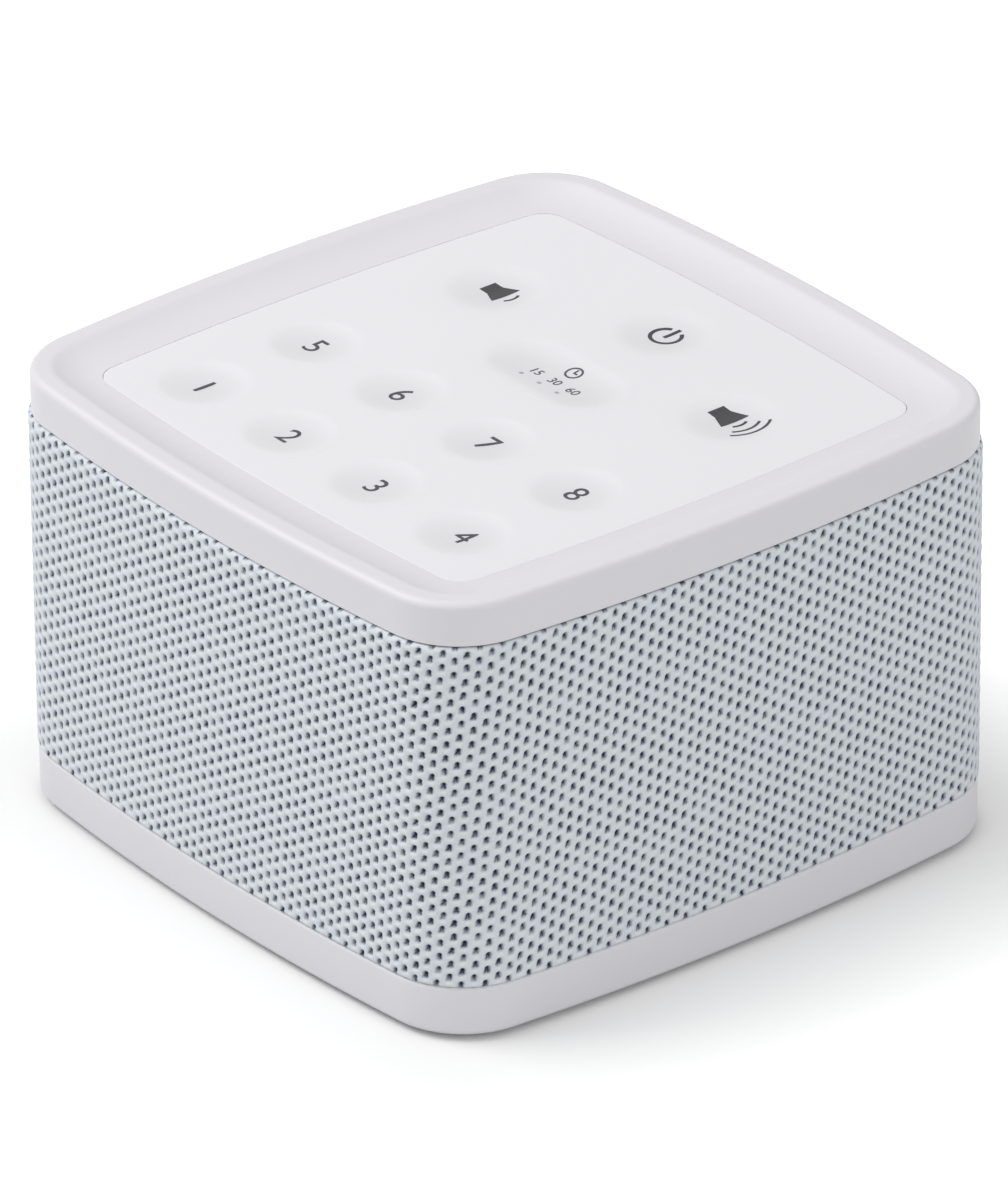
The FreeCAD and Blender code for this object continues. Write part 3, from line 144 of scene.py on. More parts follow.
class StageSizes(bpy.types.PropertyGroup):
    """The camera's place and the strength of the lamps"""

    azimuth: bpy.props.FloatProperty(
        name="Azimuth", description="How far the camera stands round to the right", subtype="ANGLE",
        default=math.radians(51.49))
    elevation: bpy.props.FloatProperty(
        name="Elevation", description="How far the camera looks down", subtype="ANGLE",
        default=math.radians(28.165))
    roll: bpy.props.FloatProperty(
        name="Roll", description="How far the camera is turned about its view", subtype="ANGLE",
        default=math.radians(-0.512))
    distance: bpy.props.FloatProperty(
        name="Distance", description="From the camera to the middle of the view", default=1.773,
        unit="LENGTH")
    across: bpy.props.FloatProperty(
        name="Across", description="How far the view's middle is to the right", default=-0.00048,
        unit="LENGTH")
    above: bpy.props.FloatProperty(
        name="Above", description="How far the view's middle is above the underside", default=0.02965,
        unit="LENGTH")
    lens: bpy.props.FloatProperty(
        name="Lens", description="Focal length in millimetres", default=359.75, min=1)
    sky: bpy.props.FloatProperty(
        name="Sky", description="Strength of the light from all round", default=0.58, min=0)
    lamp: bpy.props.FloatProperty(
        name="Lamp", description="Power of the large lamp over the left front", default=11.0, min=0,
        unit="POWER")
    floor: bpy.props.FloatVectorProperty(
        name="Floor", description="Colour of the floor", subtype="COLOR", size=3, min=0, max=1,
        default=(0.60, 0.61, 0.605))


def sizes(kind):
    return getattr(bpy.context.scene, f"sound_machine_{kind}")


class Wire:
    """One output of a recipe's node tree, which sums and products can be written with."""

    def __init__(self, recipe, socket):
        self.recipe = recipe
        self.socket = socket

    def worked(self, operation, first, second):
        return self.recipe.node("ShaderNodeMath", {"operation": operation}, [first, second])

    def __add__(self, other):
        return self.worked("ADD", self, other)

    def __mul__(self, other):
        return self.worked("MULTIPLY", self, other)

    __radd__ = __add__
    __rmul__ = __mul__


class Recipe:
    """A finish in the making: a material with one surface shader."""

    def __init__(self, name):
        self.material = bpy.data.materials.new(name)
        self.material.use_nodes = True
        self.tree = self.material.node_tree
        self.shader = self.tree.nodes["Principled BSDF"]

    def node(self, kind, settings=None, sockets=(), output=0):
        """Adds a node. Its settings are set first, then the values or wires of its sockets."""
        node = self.tree.nodes.new(kind)
        for key, value in (settings or {}).items():
            setattr(node, key, value)
        self.feed(node, sockets)
        return Wire(self, node.outputs[output])

    def feed(self, node, sockets):
        pairs = sockets.items() if isinstance(sockets, dict) else enumerate(sockets)
        for key, value in pairs:
            if isinstance(value, Wire):
                self.tree.links.new(value.socket, node.inputs[key])
            else:
                node.inputs[key].default_value = value

    def place(self):
        """The piece's own coordinates, in metres."""
        return self.node("ShaderNodeTexCoord", output=3)

    def noise(self, scale, detail=2.0, where=None):
        where = where or self.place()
        return self.node("ShaderNodeTexNoise", {}, {"Vector": where, "Scale": scale, "Detail": detail})

    def stretched(self, scale):
        """The piece's own coordinates, scaled by a different amount along each axis."""
        return self.node("ShaderNodeMapping", {}, {"Vector": self.place(), "Scale": scale})

    def mixed(self, share, first, second):
        """A colour between two others."""
        colours = [(*c, 1.0) if isinstance(c, (tuple, list)) and len(c) == 3 else c for c in (first, second)]
        return self.node("ShaderNodeMix", {"data_type": "RGBA"}, {0: share, 6: colours[0], 7: colours[1]}, 2)

    def raised(self, height, distance, strength=1.0):
        return self.node(
            "ShaderNodeBump", {}, {"Height": height, "Distance": distance, "Strength": strength})

    def carried(self, name):
        """A number that the mesh carries at each point."""
        return self.node("ShaderNodeAttribute", {"attribute_name": name}, output=2)

    def waves(self, direction, scale):
        return self.node(
            "ShaderNodeTexWave", {"bands_direction": direction}, {"Vector": self.place(), "Scale": scale})

    def finished(self, **sockets):
        self.feed(self.shader, {key.replace("_", " "): value for key, value in sockets.items()})
        return self.material


def lighter(colour, share):
    """The colour made lighter by the share, or darker where the share is below 1."""
    return tuple(min(1.0, part * share) for part in colour)


def moulded(name, colour, roughness=0.46):
    """Matte moulded plastic: a very fine grain, and a cloudiness that is barely seen."""
    recipe = Recipe(name)
    cloud = recipe.noise(45.0)
    tint = recipe.mixed(cloud, lighter(colour, 0.985), lighter(colour, 1.012))
    fine = recipe.noise(2600.0, 1.0)
    return recipe.finished(
        Base_Color=tint, Roughness=roughness + 0.06 * cloud, Normal=recipe.raised(fine, 0.00001))


def soft_skin(name, colour):
    """The touch panel's rubbery skin: satin, with a fine even grain, and a painted shade that darkens it
    where the mesh says that a point lies in a dish."""
    recipe = Recipe(name)
    cloud = recipe.noise(30.0)
    dish = recipe.carried("dish")
    tint = recipe.mixed(cloud, lighter(colour, 0.99), lighter(colour, 1.008))
    # Painted shade in the dishes
    tint = recipe.mixed(dish, tint, lighter(colour, 0.91))
    fine = recipe.noise(3800.0, 1.0)
    return recipe.finished(
        Base_Color=tint, Roughness=0.56 + 0.05 * cloud, Normal=recipe.raised(fine, 0.000006))


def ink(name, colour):
    """Printed ink: flat and slightly uneven."""
    recipe = Recipe(name)
    wear = recipe.noise(1800.0)
    return recipe.finished(
        Base_Color=recipe.mixed(wear, lighter(colour, 0.85), lighter(colour, 1.2)),
        Roughness=0.5 + 0.1 * wear)


def knitted(name, yarn, shade):
    """Knitted yarn. The mesh carries a painted shade that darkens the holes, their gaps and basins towards
    the shade colour, and a painted highlight that lightens the loops and bridges; the fibres run upright.
    """
    recipe = Recipe(name)
    pit = recipe.carried("pit")
    thread = recipe.carried("thread")
    fibre = recipe.noise(1.0, 3.0, recipe.stretched((5200.0, 5200.0, 1500.0)))
    cloud = recipe.noise(170.0)
    light = recipe.mixed(fibre, lighter(yarn, 0.84), lighter(yarn, 1.14))
    light = recipe.mixed(cloud * 0.5, light, lighter(yarn, 0.9))
    # Painted highlight on the loops and bridges
    light = recipe.mixed(thread * 0.55, light, lighter(yarn, 1.2))
    # Painted shade in the holes, gaps and basins
    tint = recipe.mixed(pit, light, shade)
    return recipe.finished(
        Base_Color=tint, Roughness=0.86, Normal=recipe.raised(fibre, 0.00006, 0.8), Sheen_Weight=0.05)


def woven(name, colour):
    """Cloth that is pressed in shape, such as the loudspeaker's spider."""
    recipe = Recipe(name)
    warp = recipe.waves("X", 420.0)
    weft = recipe.waves("Z", 420.0)
    both = warp * weft
    return recipe.finished(
        Base_Color=recipe.mixed(both, lighter(colour, 0.6), lighter(colour, 1.1)), Roughness=0.9,
        Normal=recipe.raised(both, 0.0001))


def rubbery(name, colour):
    """Moulded rubber: dull, with specks."""
    recipe = Recipe(name)
    speck = recipe.noise(900.0)
    return recipe.finished(
        Base_Color=recipe.mixed(speck, lighter(colour, 0.8), lighter(colour, 1.3)),
        Roughness=0.75 + 0.1 * speck, Normal=recipe.raised(speck, 0.00003))


def brushed(name, colour):
    """Plated or drawn metal, with faint lines along its length."""
    recipe = Recipe(name)
    lines = recipe.noise(1.0, 2.0, recipe.stretched((1200.0, 90.0, 1200.0)))
    return recipe.finished(
        Base_Color=recipe.mixed(lines, lighter(colour, 0.9), lighter(colour, 1.06)), Metallic=1.0,
        Roughness=0.32 + 0.15 * lines, Normal=recipe.raised(lines, 0.000008))


def wound(name, colour):
    """Enamelled wire in close turns round an axis that lies front to back."""
    recipe = Recipe(name)
    turns = recipe.waves("Y", 900.0)
    return recipe.finished(
        Base_Color=recipe.mixed(turns, lighter(colour, 0.45), lighter(colour, 1.1)), Metallic=0.8,
        Roughness=0.35, Normal=recipe.raised(turns, 0.00005))


def lacquered(name, colour):
    """A lacquered board: gloss over a weave that is hardly seen."""
    recipe = Recipe(name)
    weave = recipe.noise(700.0)
    return recipe.finished(
        Base_Color=recipe.mixed(weave, lighter(colour, 0.85), lighter(colour, 1.15)),
        Roughness=0.28 + 0.1 * weave, Normal=recipe.raised(weave, 0.00001))


def speckled(name, colour):
    """Painted sheet, ground ferrite or pressed paper: a fine even speckle."""
    recipe = Recipe(name)
    speck = recipe.noise(1400.0, 4.0)
    return recipe.finished(
        Base_Color=recipe.mixed(speck, lighter(colour, 0.8), lighter(colour, 1.25)),
        Roughness=0.6 + 0.15 * speck, Normal=recipe.raised(speck, 0.00002))


WHITE_MOULDING = (0.85, 0.832, 0.868)
WINDOW_GREY = (0.45, 0.46, 0.50)
FINISHES = {
    "matte_plastic": moulded,
    "gloss_plastic": lacquered,
    "fabric": woven,
    "rubber": rubbery,
    "brushed_steel": brushed,
    "aluminium": brushed,
    "chrome": brushed,
    "brass": wound,
    "cast_iron": speckled,
    "painted_metal": speckled,
}


def mesh_piece(name, points, material, round_u=True, crease=math.radians(35), merge=False, **values):
    """A mesh from a grid of points. The first index goes round and the second goes along the profile.
    Named values are one number for each point, and the material can read them."""
    across, along = points.shape[:2]
    first = np.arange(across if round_u else across - 1)
    second = np.arange(along - 1)
    here, there = np.meshgrid(first, second, indexing="ij")
    after = (here + 1) % across
    quads = np.stack([here * along + there, after * along + there, after * along + there + 1,
        here * along + there + 1], axis=-1).reshape(-1, 4)
    mesh = bpy.data.meshes.new(name)
    mesh.vertices.add(across * along)
    mesh.vertices.foreach_set("co", points.reshape(-1).astype(np.float32))
    mesh.loops.add(quads.size)
    mesh.loops.foreach_set("vertex_index", quads.reshape(-1).astype(np.int32))
    mesh.polygons.add(len(quads))
    mesh.polygons.foreach_set("loop_start", np.arange(0, quads.size, 4, dtype=np.int32))
    mesh.polygons.foreach_set("use_smooth", np.ones(len(quads), dtype=bool))
    for key, numbers in values.items():
        layer = mesh.attributes.new(key, "FLOAT", "POINT")
        layer.data.foreach_set("value", numbers.reshape(-1).astype(np.float32))
    mesh.update(calc_edges=True)
    if merge:
        joined = bmesh.new()
        joined.from_mesh(mesh)
        bmesh.ops.remove_doubles(joined, verts=joined.verts, dist=1e-7)
        joined.to_mesh(mesh)
        joined.free()
    mesh.set_sharp_from_angle(angle=crease)
    piece = bpy.data.objects.new(name, mesh)
    bpy.context.scene.collection.objects.link(piece)
    mesh.materials.append(material)
    return piece


def bow_of(half, side_radius, corner_radius):
    """Of a square with bowed sides and round corners: how far behind the middle a side's centre lies, how
    far out along both axes a corner's centre lies, and how far round from its middle a side ends."""
    reach = side_radius - half
    span = side_radius - corner_radius
    middle = (math.sqrt(2 * span * span - reach * reach) - reach) / 2
    return reach, middle, math.atan2(middle, middle + reach)


def outline_length(half, side_radius, corner_radius):
    swing = bow_of(half, side_radius, corner_radius)[2]
    return 8 * (side_radius * swing + corner_radius * (math.pi / 4 - swing))


def facing_at(distance, half, side_radius, corner_radius):
    """The way that the outline faces at a distance along it, from the middle of its +X side. The angle
    grows by the distance over the side's radius, and then by the rest over the corner's radius."""
    swing = bow_of(half, side_radius, corner_radius)[2]
    side = side_radius * swing
    quarter = 2 * (side + corner_radius * (math.pi / 4 - swing))
    turns = np.round(distance / quarter)
    rest = distance - turns * quarter
    size = np.abs(rest)
    angle = np.where(size <= side, size / side_radius, swing + (size - side) / corner_radius)
    return turns * math.pi / 2 + np.sign(rest) * angle


def outline_at(facing, half, side_radius, corner_radius, outward=0.0):
    """Points of the outline that face the given ways, moved outward. On a side, the point is the side's
    centre plus its radius times the way it faces, and at a corner the same with the corner's circle."""
    reach, middle, swing = bow_of(half, side_radius, corner_radius)
    quarter = np.round(facing / (math.pi / 2))
    local = facing - quarter * math.pi / 2
    on_side = np.abs(local) <= swing
    centre_x = np.where(on_side, -reach, middle)
    centre_y = np.where(on_side, 0.0, np.sign(local) * middle)
    radius = np.where(on_side, side_radius, corner_radius) + outward
    turn = quarter * math.pi / 2
    x = centre_x * np.cos(turn) - centre_y * np.sin(turn) + radius * np.cos(facing)
    y = centre_x * np.sin(turn) + centre_y * np.cos(turn) + radius * np.sin(facing)
    return x, y


# Mesh steps from one column of holes to the next, and from one row to the next
STEPS = 8
PANELS = ("right", "back", "left", "front")
BACK_OF_KNIT = -0.5 * MM
# Share of the edge's curl over which the knit has no holes
PLAIN_EDGE = 0.4

# The forms round one hole of the knit, in millimetres from its middle: how far right and up each lies, and
# how far it reaches sideways and upright
TOP_HOLE = (0.02, 0.30, 0.27, 0.24)
RIGHT_GAP = (0.24, -0.20, 0.19, 0.20)
LEFT_GAP = (-0.26, -0.26, 0.19, 0.22)
BASIN = (0.0, 0.0, 0.55, 0.62)
LOWER_LOOP = (0.0, -0.92, 0.5, 0.3)
UPPER_LOOP = (0.0, 1.18, 0.5, 0.3)
BRIDGE = (0.0, -0.02, 0.3, 0.13)

# How much one hole differs from the next: its reach, its place, and how open its two lower gaps are
HOLE_GROWTH = 0.04
HOLE_WANDER = 0.16
RIGHT_LEAST, LEFT_LEAST, OPEN_RANGE = 0.25, 0.15, 0.75

# What each form adds to the depth and to the painted shade, and how much painted shade the yarn takes up
# unseen
GAP_SINK, BASIN_SINK, LOOP_RISE, BRIDGE_RISE = 0.55, 0.22, 0.10, 0.12
HOLE_DARK, HOLE_CURVE, GAP_DARK, BASIN_DARK, LEAST_DARK = 2.6, 1.2, 1.7, 0.50, 0.17
# How much a bridge adds to the painted highlight
BRIDGE_THREAD = 0.8


def bell(x, y, form, growth=0.0):
    """One at a form's middle, and down to nothing as a bell curve."""
    at_x, at_y, wide, high = form
    return np.exp(-((x - at_x) / (wide + growth)) ** 2 - ((y - at_y) / (high + growth)) ** 2)


def knit_relief(x, y, chance):
    """Of points in millimetres from their hole's middle: how far each is sunk as a share of the hole's
    depth, how dark it is painted as shade in the hole, its gaps and its basin, and how strongly its loops
    and bridge are painted as highlight."""
    size, right_open, left_open, aside, upward = chance
    x = x - (aside - 0.5) * HOLE_WANDER
    y = y - (upward - 0.5) * HOLE_WANDER
    top_hole = bell(x, y, TOP_HOLE, HOLE_GROWTH * size)
    right_gap = (RIGHT_LEAST + OPEN_RANGE * right_open) * bell(x, y, RIGHT_GAP)
    left_gap = (LEFT_LEAST + OPEN_RANGE * left_open) * bell(x, y, LEFT_GAP)
    gaps = right_gap + left_gap
    basin = bell(x, y, BASIN)
    loop = bell(x, y, LOWER_LOOP) + bell(x, y, UPPER_LOOP)
    bridge = bell(x, y, BRIDGE)
    sink = top_hole + GAP_SINK * gaps + BASIN_SINK * basin - LOOP_RISE * loop - BRIDGE_RISE * bridge
    # Painted shade: darkest in the hole, less in the gaps and the basin
    dark = HOLE_DARK * top_hole ** HOLE_CURVE + GAP_DARK * gaps + BASIN_DARK * basin - LEAST_DARK
    return sink, np.clip(dark, 0, 1), np.clip(loop + BRIDGE_THREAD * bridge, 0, 1)


class OBJECT_OT_knitted_sleeve(bpy.types.Operator):
    """Knits the sleeve that covers the frame, in four panels that meet without a gap"""

    bl_idname = "sound_machine.knitted_sleeve"
    bl_label = "Knitted Sleeve"

    def execute(self, context):
        look = sizes("sleeve")
        rng = np.random.default_rng(7)
        outline = (COVER_HALF, look.side_radius, look.corner_radius)
        proud = SLEEVE_HIGH[0] - COVER_HALF
        height = SLEEVE_HIGH[2] - SLEEVE_LOW[2]
        length = outline_length(*outline)
        # A multiple of 8 gives each panel whole pairs of columns
        columns = 8 * round(length / look.column_pitch / 8)
        rows = math.ceil(height / look.row_pitch) + 1
        material = knitted("knit", tuple(look.yarn), tuple(look.shade))
        chance = rng.random((5, columns, rows + 1))
        across = np.arange(columns * STEPS + 1)
        up = np.arange(math.ceil(height / look.row_pitch * STEPS) + 1) * (look.row_pitch / STEPS)
        up = np.minimum(up, height)
        a, z = np.meshgrid(across, up, indexing="ij")
        column = ((a + STEPS // 2) // STEPS) % columns
        x = ((a + STEPS // 2) % STEPS - STEPS / 2) / STEPS * look.column_pitch / MM
        # In every second column the holes stand half a row lower
        row_place = z / look.row_pitch + 0.5 * (column % 2) + 0.25
        row = np.clip(np.round(row_place).astype(int), 0, rows)
        y = (row_place - row) * look.row_pitch / MM
        # The second value is painted shade for the holes, and the third a painted highlight on the loops
        sink, pit, thread = knit_relief(x, y, chance[:, column, row])
        # Towards its upper and lower edges the knit curls in, and its holes grow shallow
        edge = np.minimum(z, height - z)
        curl = np.clip(1 - edge / look.edge_curl, 0, 1)
        inward = look.edge_curl * (1 - np.sqrt(1 - curl * curl))
        sink = sink * np.clip(edge / look.edge_curl - PLAIN_EDGE, 0, 1)
        distance = a / STEPS * (length / columns) + (z - height / 2) * math.tan(look.lean)
        facing = facing_at(distance, *outline)
        knit_x, knit_y = outline_at(facing, *outline, proud - inward - sink * look.hole_depth)
        knit = np.stack([knit_x, knit_y, SLEEVE_LOW[2] + z], axis=-1)
        # The inside is plain: it runs down again behind the knit, and joins its lower edge
        upper = len(up) - 1
        inside = []
        for level in (upper, round(upper / 2), 0):
            back_x, back_y = outline_at(facing[:, level], *outline, BACK_OF_KNIT)
            inside.append(np.stack([back_x, back_y, knit[:, level, 2]], axis=-1))
        inside.append(knit[:, 0])
        whole = np.concatenate([knit, np.stack(inside, axis=1)], axis=1)
        plain = np.zeros((len(whole), len(inside)))
        pit = np.concatenate([pit, plain], axis=1)
        thread = np.concatenate([thread, plain], axis=1)
        share = columns // len(PANELS) * STEPS
        for number, name in enumerate(PANELS):
            part = slice(number * share, (number + 1) * share + 1)
            piece = mesh_piece(f"sleeve_{name}", whole[part], material, round_u=False, crease=math.pi,
                pit=pit[part], thread=thread[part])
            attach(piece, "case")
        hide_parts("fabric_sleeve")
        return {"FINISHED"}


# The dishes of the volume and power keys are wider than those of the sound keys, and theirs and the timer
# key's have softer rims
WIDER = 1.05
SOFTER = 1.9


def key_arm(key):
    """Half the straight length of a key's dish: nothing on a round key."""
    low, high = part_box(key)
    return ((high[0] - low[0]) - (high[1] - low[1])) / 2 if key == TIMER_KEY else 0.0


def dish_radius(key):
    panel = sizes("panel")
    if key == TIMER_KEY:
        return panel.timer_radius
    return panel.key_radius * (1.0 if key in SOUND_KEYS else WIDER)


def dish_softness(key):
    return sizes("panel").softness * (1.0 if key in SOUND_KEYS else SOFTER)


def dish_fall(key, out):
    """Height of a key's skin against the panel. It is a dish that falls with the square of the distance
    from its rim's circle, joined to the flat by a soft bend: minus half of f plus root of f squared and
    softness squared, where f is the depth that a plain dish would have there."""
    panel = sizes("panel")
    plain = panel.dish_depth * (1 - (out / dish_radius(key)) ** 2)
    return -(plain + np.sqrt(plain * plain + dish_softness(key) ** 2)) / 2


def dish_share(key, out):
    """How far a point's skin lies down its dish: 0 on the flat, and 1 at the bottom. The skin's material
    darkens it by this as painted shade.
    """
    return np.clip(-dish_fall(key, out) / sizes("panel").dish_depth, 0, 1)


def out_from(key, x, y):
    """Distance from a key's middle, or on the long key from the line along its middle."""
    at_x, at_y = middle_of(key)
    return np.hypot(np.maximum(np.abs(x - at_x) - key_arm(key), 0.0), y - at_y)


def bend_with(piece):
    """Bakes the piece's place into its mesh."""
    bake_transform(piece)


class OBJECT_OT_touch_skin(bpy.types.Operator):
    """Lays the touch panel's skin, which passes under the rims of the dished keys"""

    bl_idname = "sound_machine.touch_skin"
    bl_label = "Touch Skin"

    def execute(self, context):
        panel = sizes("panel")
        spread, bend = 0.10 * MM, 0.12 * MM
        room, room_edge = 1.1 * MM, 0.6 * MM
        outline = (SKIN_HIGH[0] + spread, panel.side_radius, panel.corner_radius + spread)
        around = np.linspace(0, outline_length(*outline), 480, endpoint=False)
        x, y = outline_at(facing_at(around, *outline), *outline)
        thick = PANEL_TOP - SKIN_LOW[2]
        # From the middle of the underside out to the edge, round its bend, and back over the top
        turn = np.linspace(0, math.pi / 2, 5)
        below, above = 30, 160
        top = below + len(turn)
        share = np.concatenate([np.linspace(0, 1, below), np.ones(len(turn)), np.linspace(1, 0, above)[1:]])
        fall = np.zeros_like(share)
        fall[:below] = -thick
        inward = np.zeros_like(share)
        fall[below:top] = -bend * (1 - np.sin(turn))
        inward[below:top] = bend * (1 - np.cos(turn))
        inward[top:] = bend
        scale = 1 - inward / SKIN_HIGH[0]
        gx = x[:, None] * (share * scale)[None, :]
        gy = y[:, None] * (share * scale)[None, :]
        gz = np.broadcast_to(PANEL_TOP + fall, gx.shape).copy()
        # How far each point lies down a dish, which the material darkens as painted shade
        dish = np.zeros_like(gz)
        for key in ALL_KEYS:
            out = out_from(key, gx, gy)
            dish = np.maximum(dish, dish_share(key, out))
            # Both faces of the skin give way under a key, by more than a pressed key needs
            near = np.clip((out - dish_radius(key)) / room_edge, 0, 1)
            dip = 1 - near * near * (3 - 2 * near)
            for face in (slice(0, below), slice(top, None)):
                gz[:, face] += (dish_fall(key, out) - room * dip)[:, face]
        piece = mesh_piece("touch_skin", np.stack([gx, gy, gz], axis=-1),
            soft_skin("touch skin", tuple(panel.skin)), merge=True, dish=dish)
        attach(piece, "case")
        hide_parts("control_overlay")
        return {"FINISHED"}


def dished_key(key, material):
    """A closed skin over one key. Its profile runs from the middle below, out to the brim, and back over
    the top to the middle, and it is carried round the key's outline."""
    panel = sizes("panel")
    x, y = middle_of(key)
    arm = key_arm(key)
    radius = dish_radius(key)
    rim = radius + panel.brim
    lift, thick, rim_depth = 0.006 * MM, 0.25 * MM, 0.01 * MM
    # The rings lie closest where the dish bends
    slope = radius * 0.75
    over = np.concatenate([np.linspace(rim, slope, 34), np.linspace(slope, 0, 26)[1:]])
    top = PANEL_TOP + lift + dish_fall(key, over)
    under = np.array([0.0, radius * 0.5, radius, rim])
    low = PANEL_TOP + lift + dish_fall(key, under) - thick
    low[-1] = PANEL_TOP + dish_fall(key, rim) - rim_depth
    out = np.concatenate([under, over])
    high = np.concatenate([low, top])
    turn = np.linspace(0, 2 * math.pi, 128, endpoint=False)
    to_end = np.sign(np.cos(turn)) * (np.abs(np.cos(turn)) > 1e-9)
    gx = x + (to_end * arm)[:, None] + np.cos(turn)[:, None] * out[None, :]
    gy = y + np.sin(turn)[:, None] * out[None, :]
    gz = np.broadcast_to(high, gx.shape)
    # How far each point lies down the dish, which the material darkens as painted shade
    dish = np.broadcast_to(dish_share(key, out), gx.shape)
    piece = mesh_piece(f"{key}_dish", np.stack([gx, gy, gz], axis=-1), material, merge=True, dish=dish)
    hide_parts(key)
    bend_with(piece)


class OBJECT_OT_dished_keys(bpy.types.Operator):
    """Dishes the skin over the twelve keys"""

    bl_idname = "sound_machine.dished_keys"
    bl_label = "Dished Keys"

    def execute(self, context):
        material = soft_skin("key skin", tuple(sizes("panel").skin))
        for key in ALL_KEYS:
            dished_key(key, material)
        return {"FINISHED"}


# The ink stands above the height that a mark is laid at, and goes down into the skin below it
INK_HEIGHT = 0.025 * MM
INK_DEPTH = 0.06 * MM
INK_LIFT = 0.02 * MM

# Height of a number against the size of its type
NUMBER_SHARE = 0.7

# Widths of strokes, in millimetres
BOLD, MEDIUM, FINE = 0.62, 0.46, 0.32


def print_on(piece, key):
    """Lays a flat mark on its key's dish: each point keeps its place and takes the dish's height."""
    mesh = piece.data
    count = len(mesh.vertices)
    points = np.empty(count * 3, dtype=np.float32)
    mesh.vertices.foreach_get("co", points)
    points = points.reshape(-1, 3)
    points[:, 2] += PANEL_TOP + INK_LIFT + dish_fall(key, out_from(key, points[:, 0], points[:, 1]))
    mesh.vertices.foreach_set("co", points.reshape(-1))
    mesh.update()
    bend_with(piece)


def printed_number(name, text, at, height, material, key):
    """A number, made a mesh as thick as its ink and then scaled to its height and moved to its place."""
    curve = bpy.data.curves.new(name, "FONT")
    curve.body = text
    curve.size = height / NUMBER_SHARE
    curve.extrude = (INK_HEIGHT + INK_DEPTH) / 2
    curve.resolution_u = 6
    shown = bpy.data.objects.new(name, curve)
    bpy.context.scene.collection.objects.link(shown)
    bpy.context.view_layer.update()
    mesh = bpy.data.meshes.new_from_object(shown.evaluated_get(bpy.context.evaluated_depsgraph_get()))
    bpy.data.objects.remove(shown)
    points = np.array([v.co for v in mesh.vertices])
    low, high = points.min(axis=0), points.max(axis=0)
    points[:, :2] += np.array(at) - (low + high)[:2] / 2
    points[:, 2] += (INK_HEIGHT - INK_DEPTH) / 2
    mesh.vertices.foreach_set("co", points.astype(np.float32).reshape(-1))
    mesh.materials.clear()
    mesh.materials.append(material)
    piece = bpy.data.objects.new(name, mesh)
    bpy.context.scene.collection.objects.link(piece)
    print_on(piece, key)


def ring_stroke(at, radius, width, start, end, count=40):
    """A stroke of even width along part of a circle, as its outer and inner edges. Angles are in degrees
    from the right."""
    turn = np.radians(np.linspace(start, end, count))
    way = np.stack([np.cos(turn), np.sin(turn)], axis=-1)
    return np.array(at) + way * radius, np.array(at) + way * (radius - width)


def bar_stroke(start, end, start_half, end_half):
    """A straight stroke whose half width changes evenly from one end to the other, in short lengths that
    follow the dish."""
    start, end = np.array(start, float), np.array(end, float)
    along = np.linspace(0, 1, 5)[:, None]
    way = (end - start) / np.linalg.norm(end - start)
    right = np.array([way[1], -way[0]])
    middle = start + (end - start) * along
    half = start_half + (end_half - start_half) * along
    return middle + right * half, middle - right * half


def printed_mark(name, strokes, key, material):
    """A mark of one or more strokes in millimetres from the panel's middle. Each is a thin closed bar: its
    right and left edges on top, the same edges below, and its two ends."""
    vertices, faces = [], []
    for right, left in strokes:
        count = len(right)
        first = len(vertices)
        rings = [(right, INK_HEIGHT), (left, INK_HEIGHT), (left, -INK_DEPTH), (right, -INK_DEPTH)]
        for index in range(count):
            for edge, height in rings:
                vertices.append((edge[index][0] * MM, edge[index][1] * MM, height))
        for index in range(count - 1):
            here = first + index * 4
            for side in range(4):
                other = (side + 1) % 4
                faces.append((here + side, here + 4 + side, here + 4 + other, here + other))
        last = first + (count - 1) * 4
        faces.append((first, first + 1, first + 2, first + 3))
        faces.append((last + 3, last + 2, last + 1, last))
    mesh = bpy.data.meshes.new(name)
    mesh.from_pydata(vertices, [], faces)
    shell = bmesh.new()
    shell.from_mesh(mesh)
    bmesh.ops.recalc_face_normals(shell, faces=shell.faces)
    shell.to_mesh(mesh)
    shell.free()
    mesh.materials.append(material)
    piece = bpy.data.objects.new(name, mesh)
    bpy.context.scene.collection.objects.link(piece)
    print_on(piece, key)


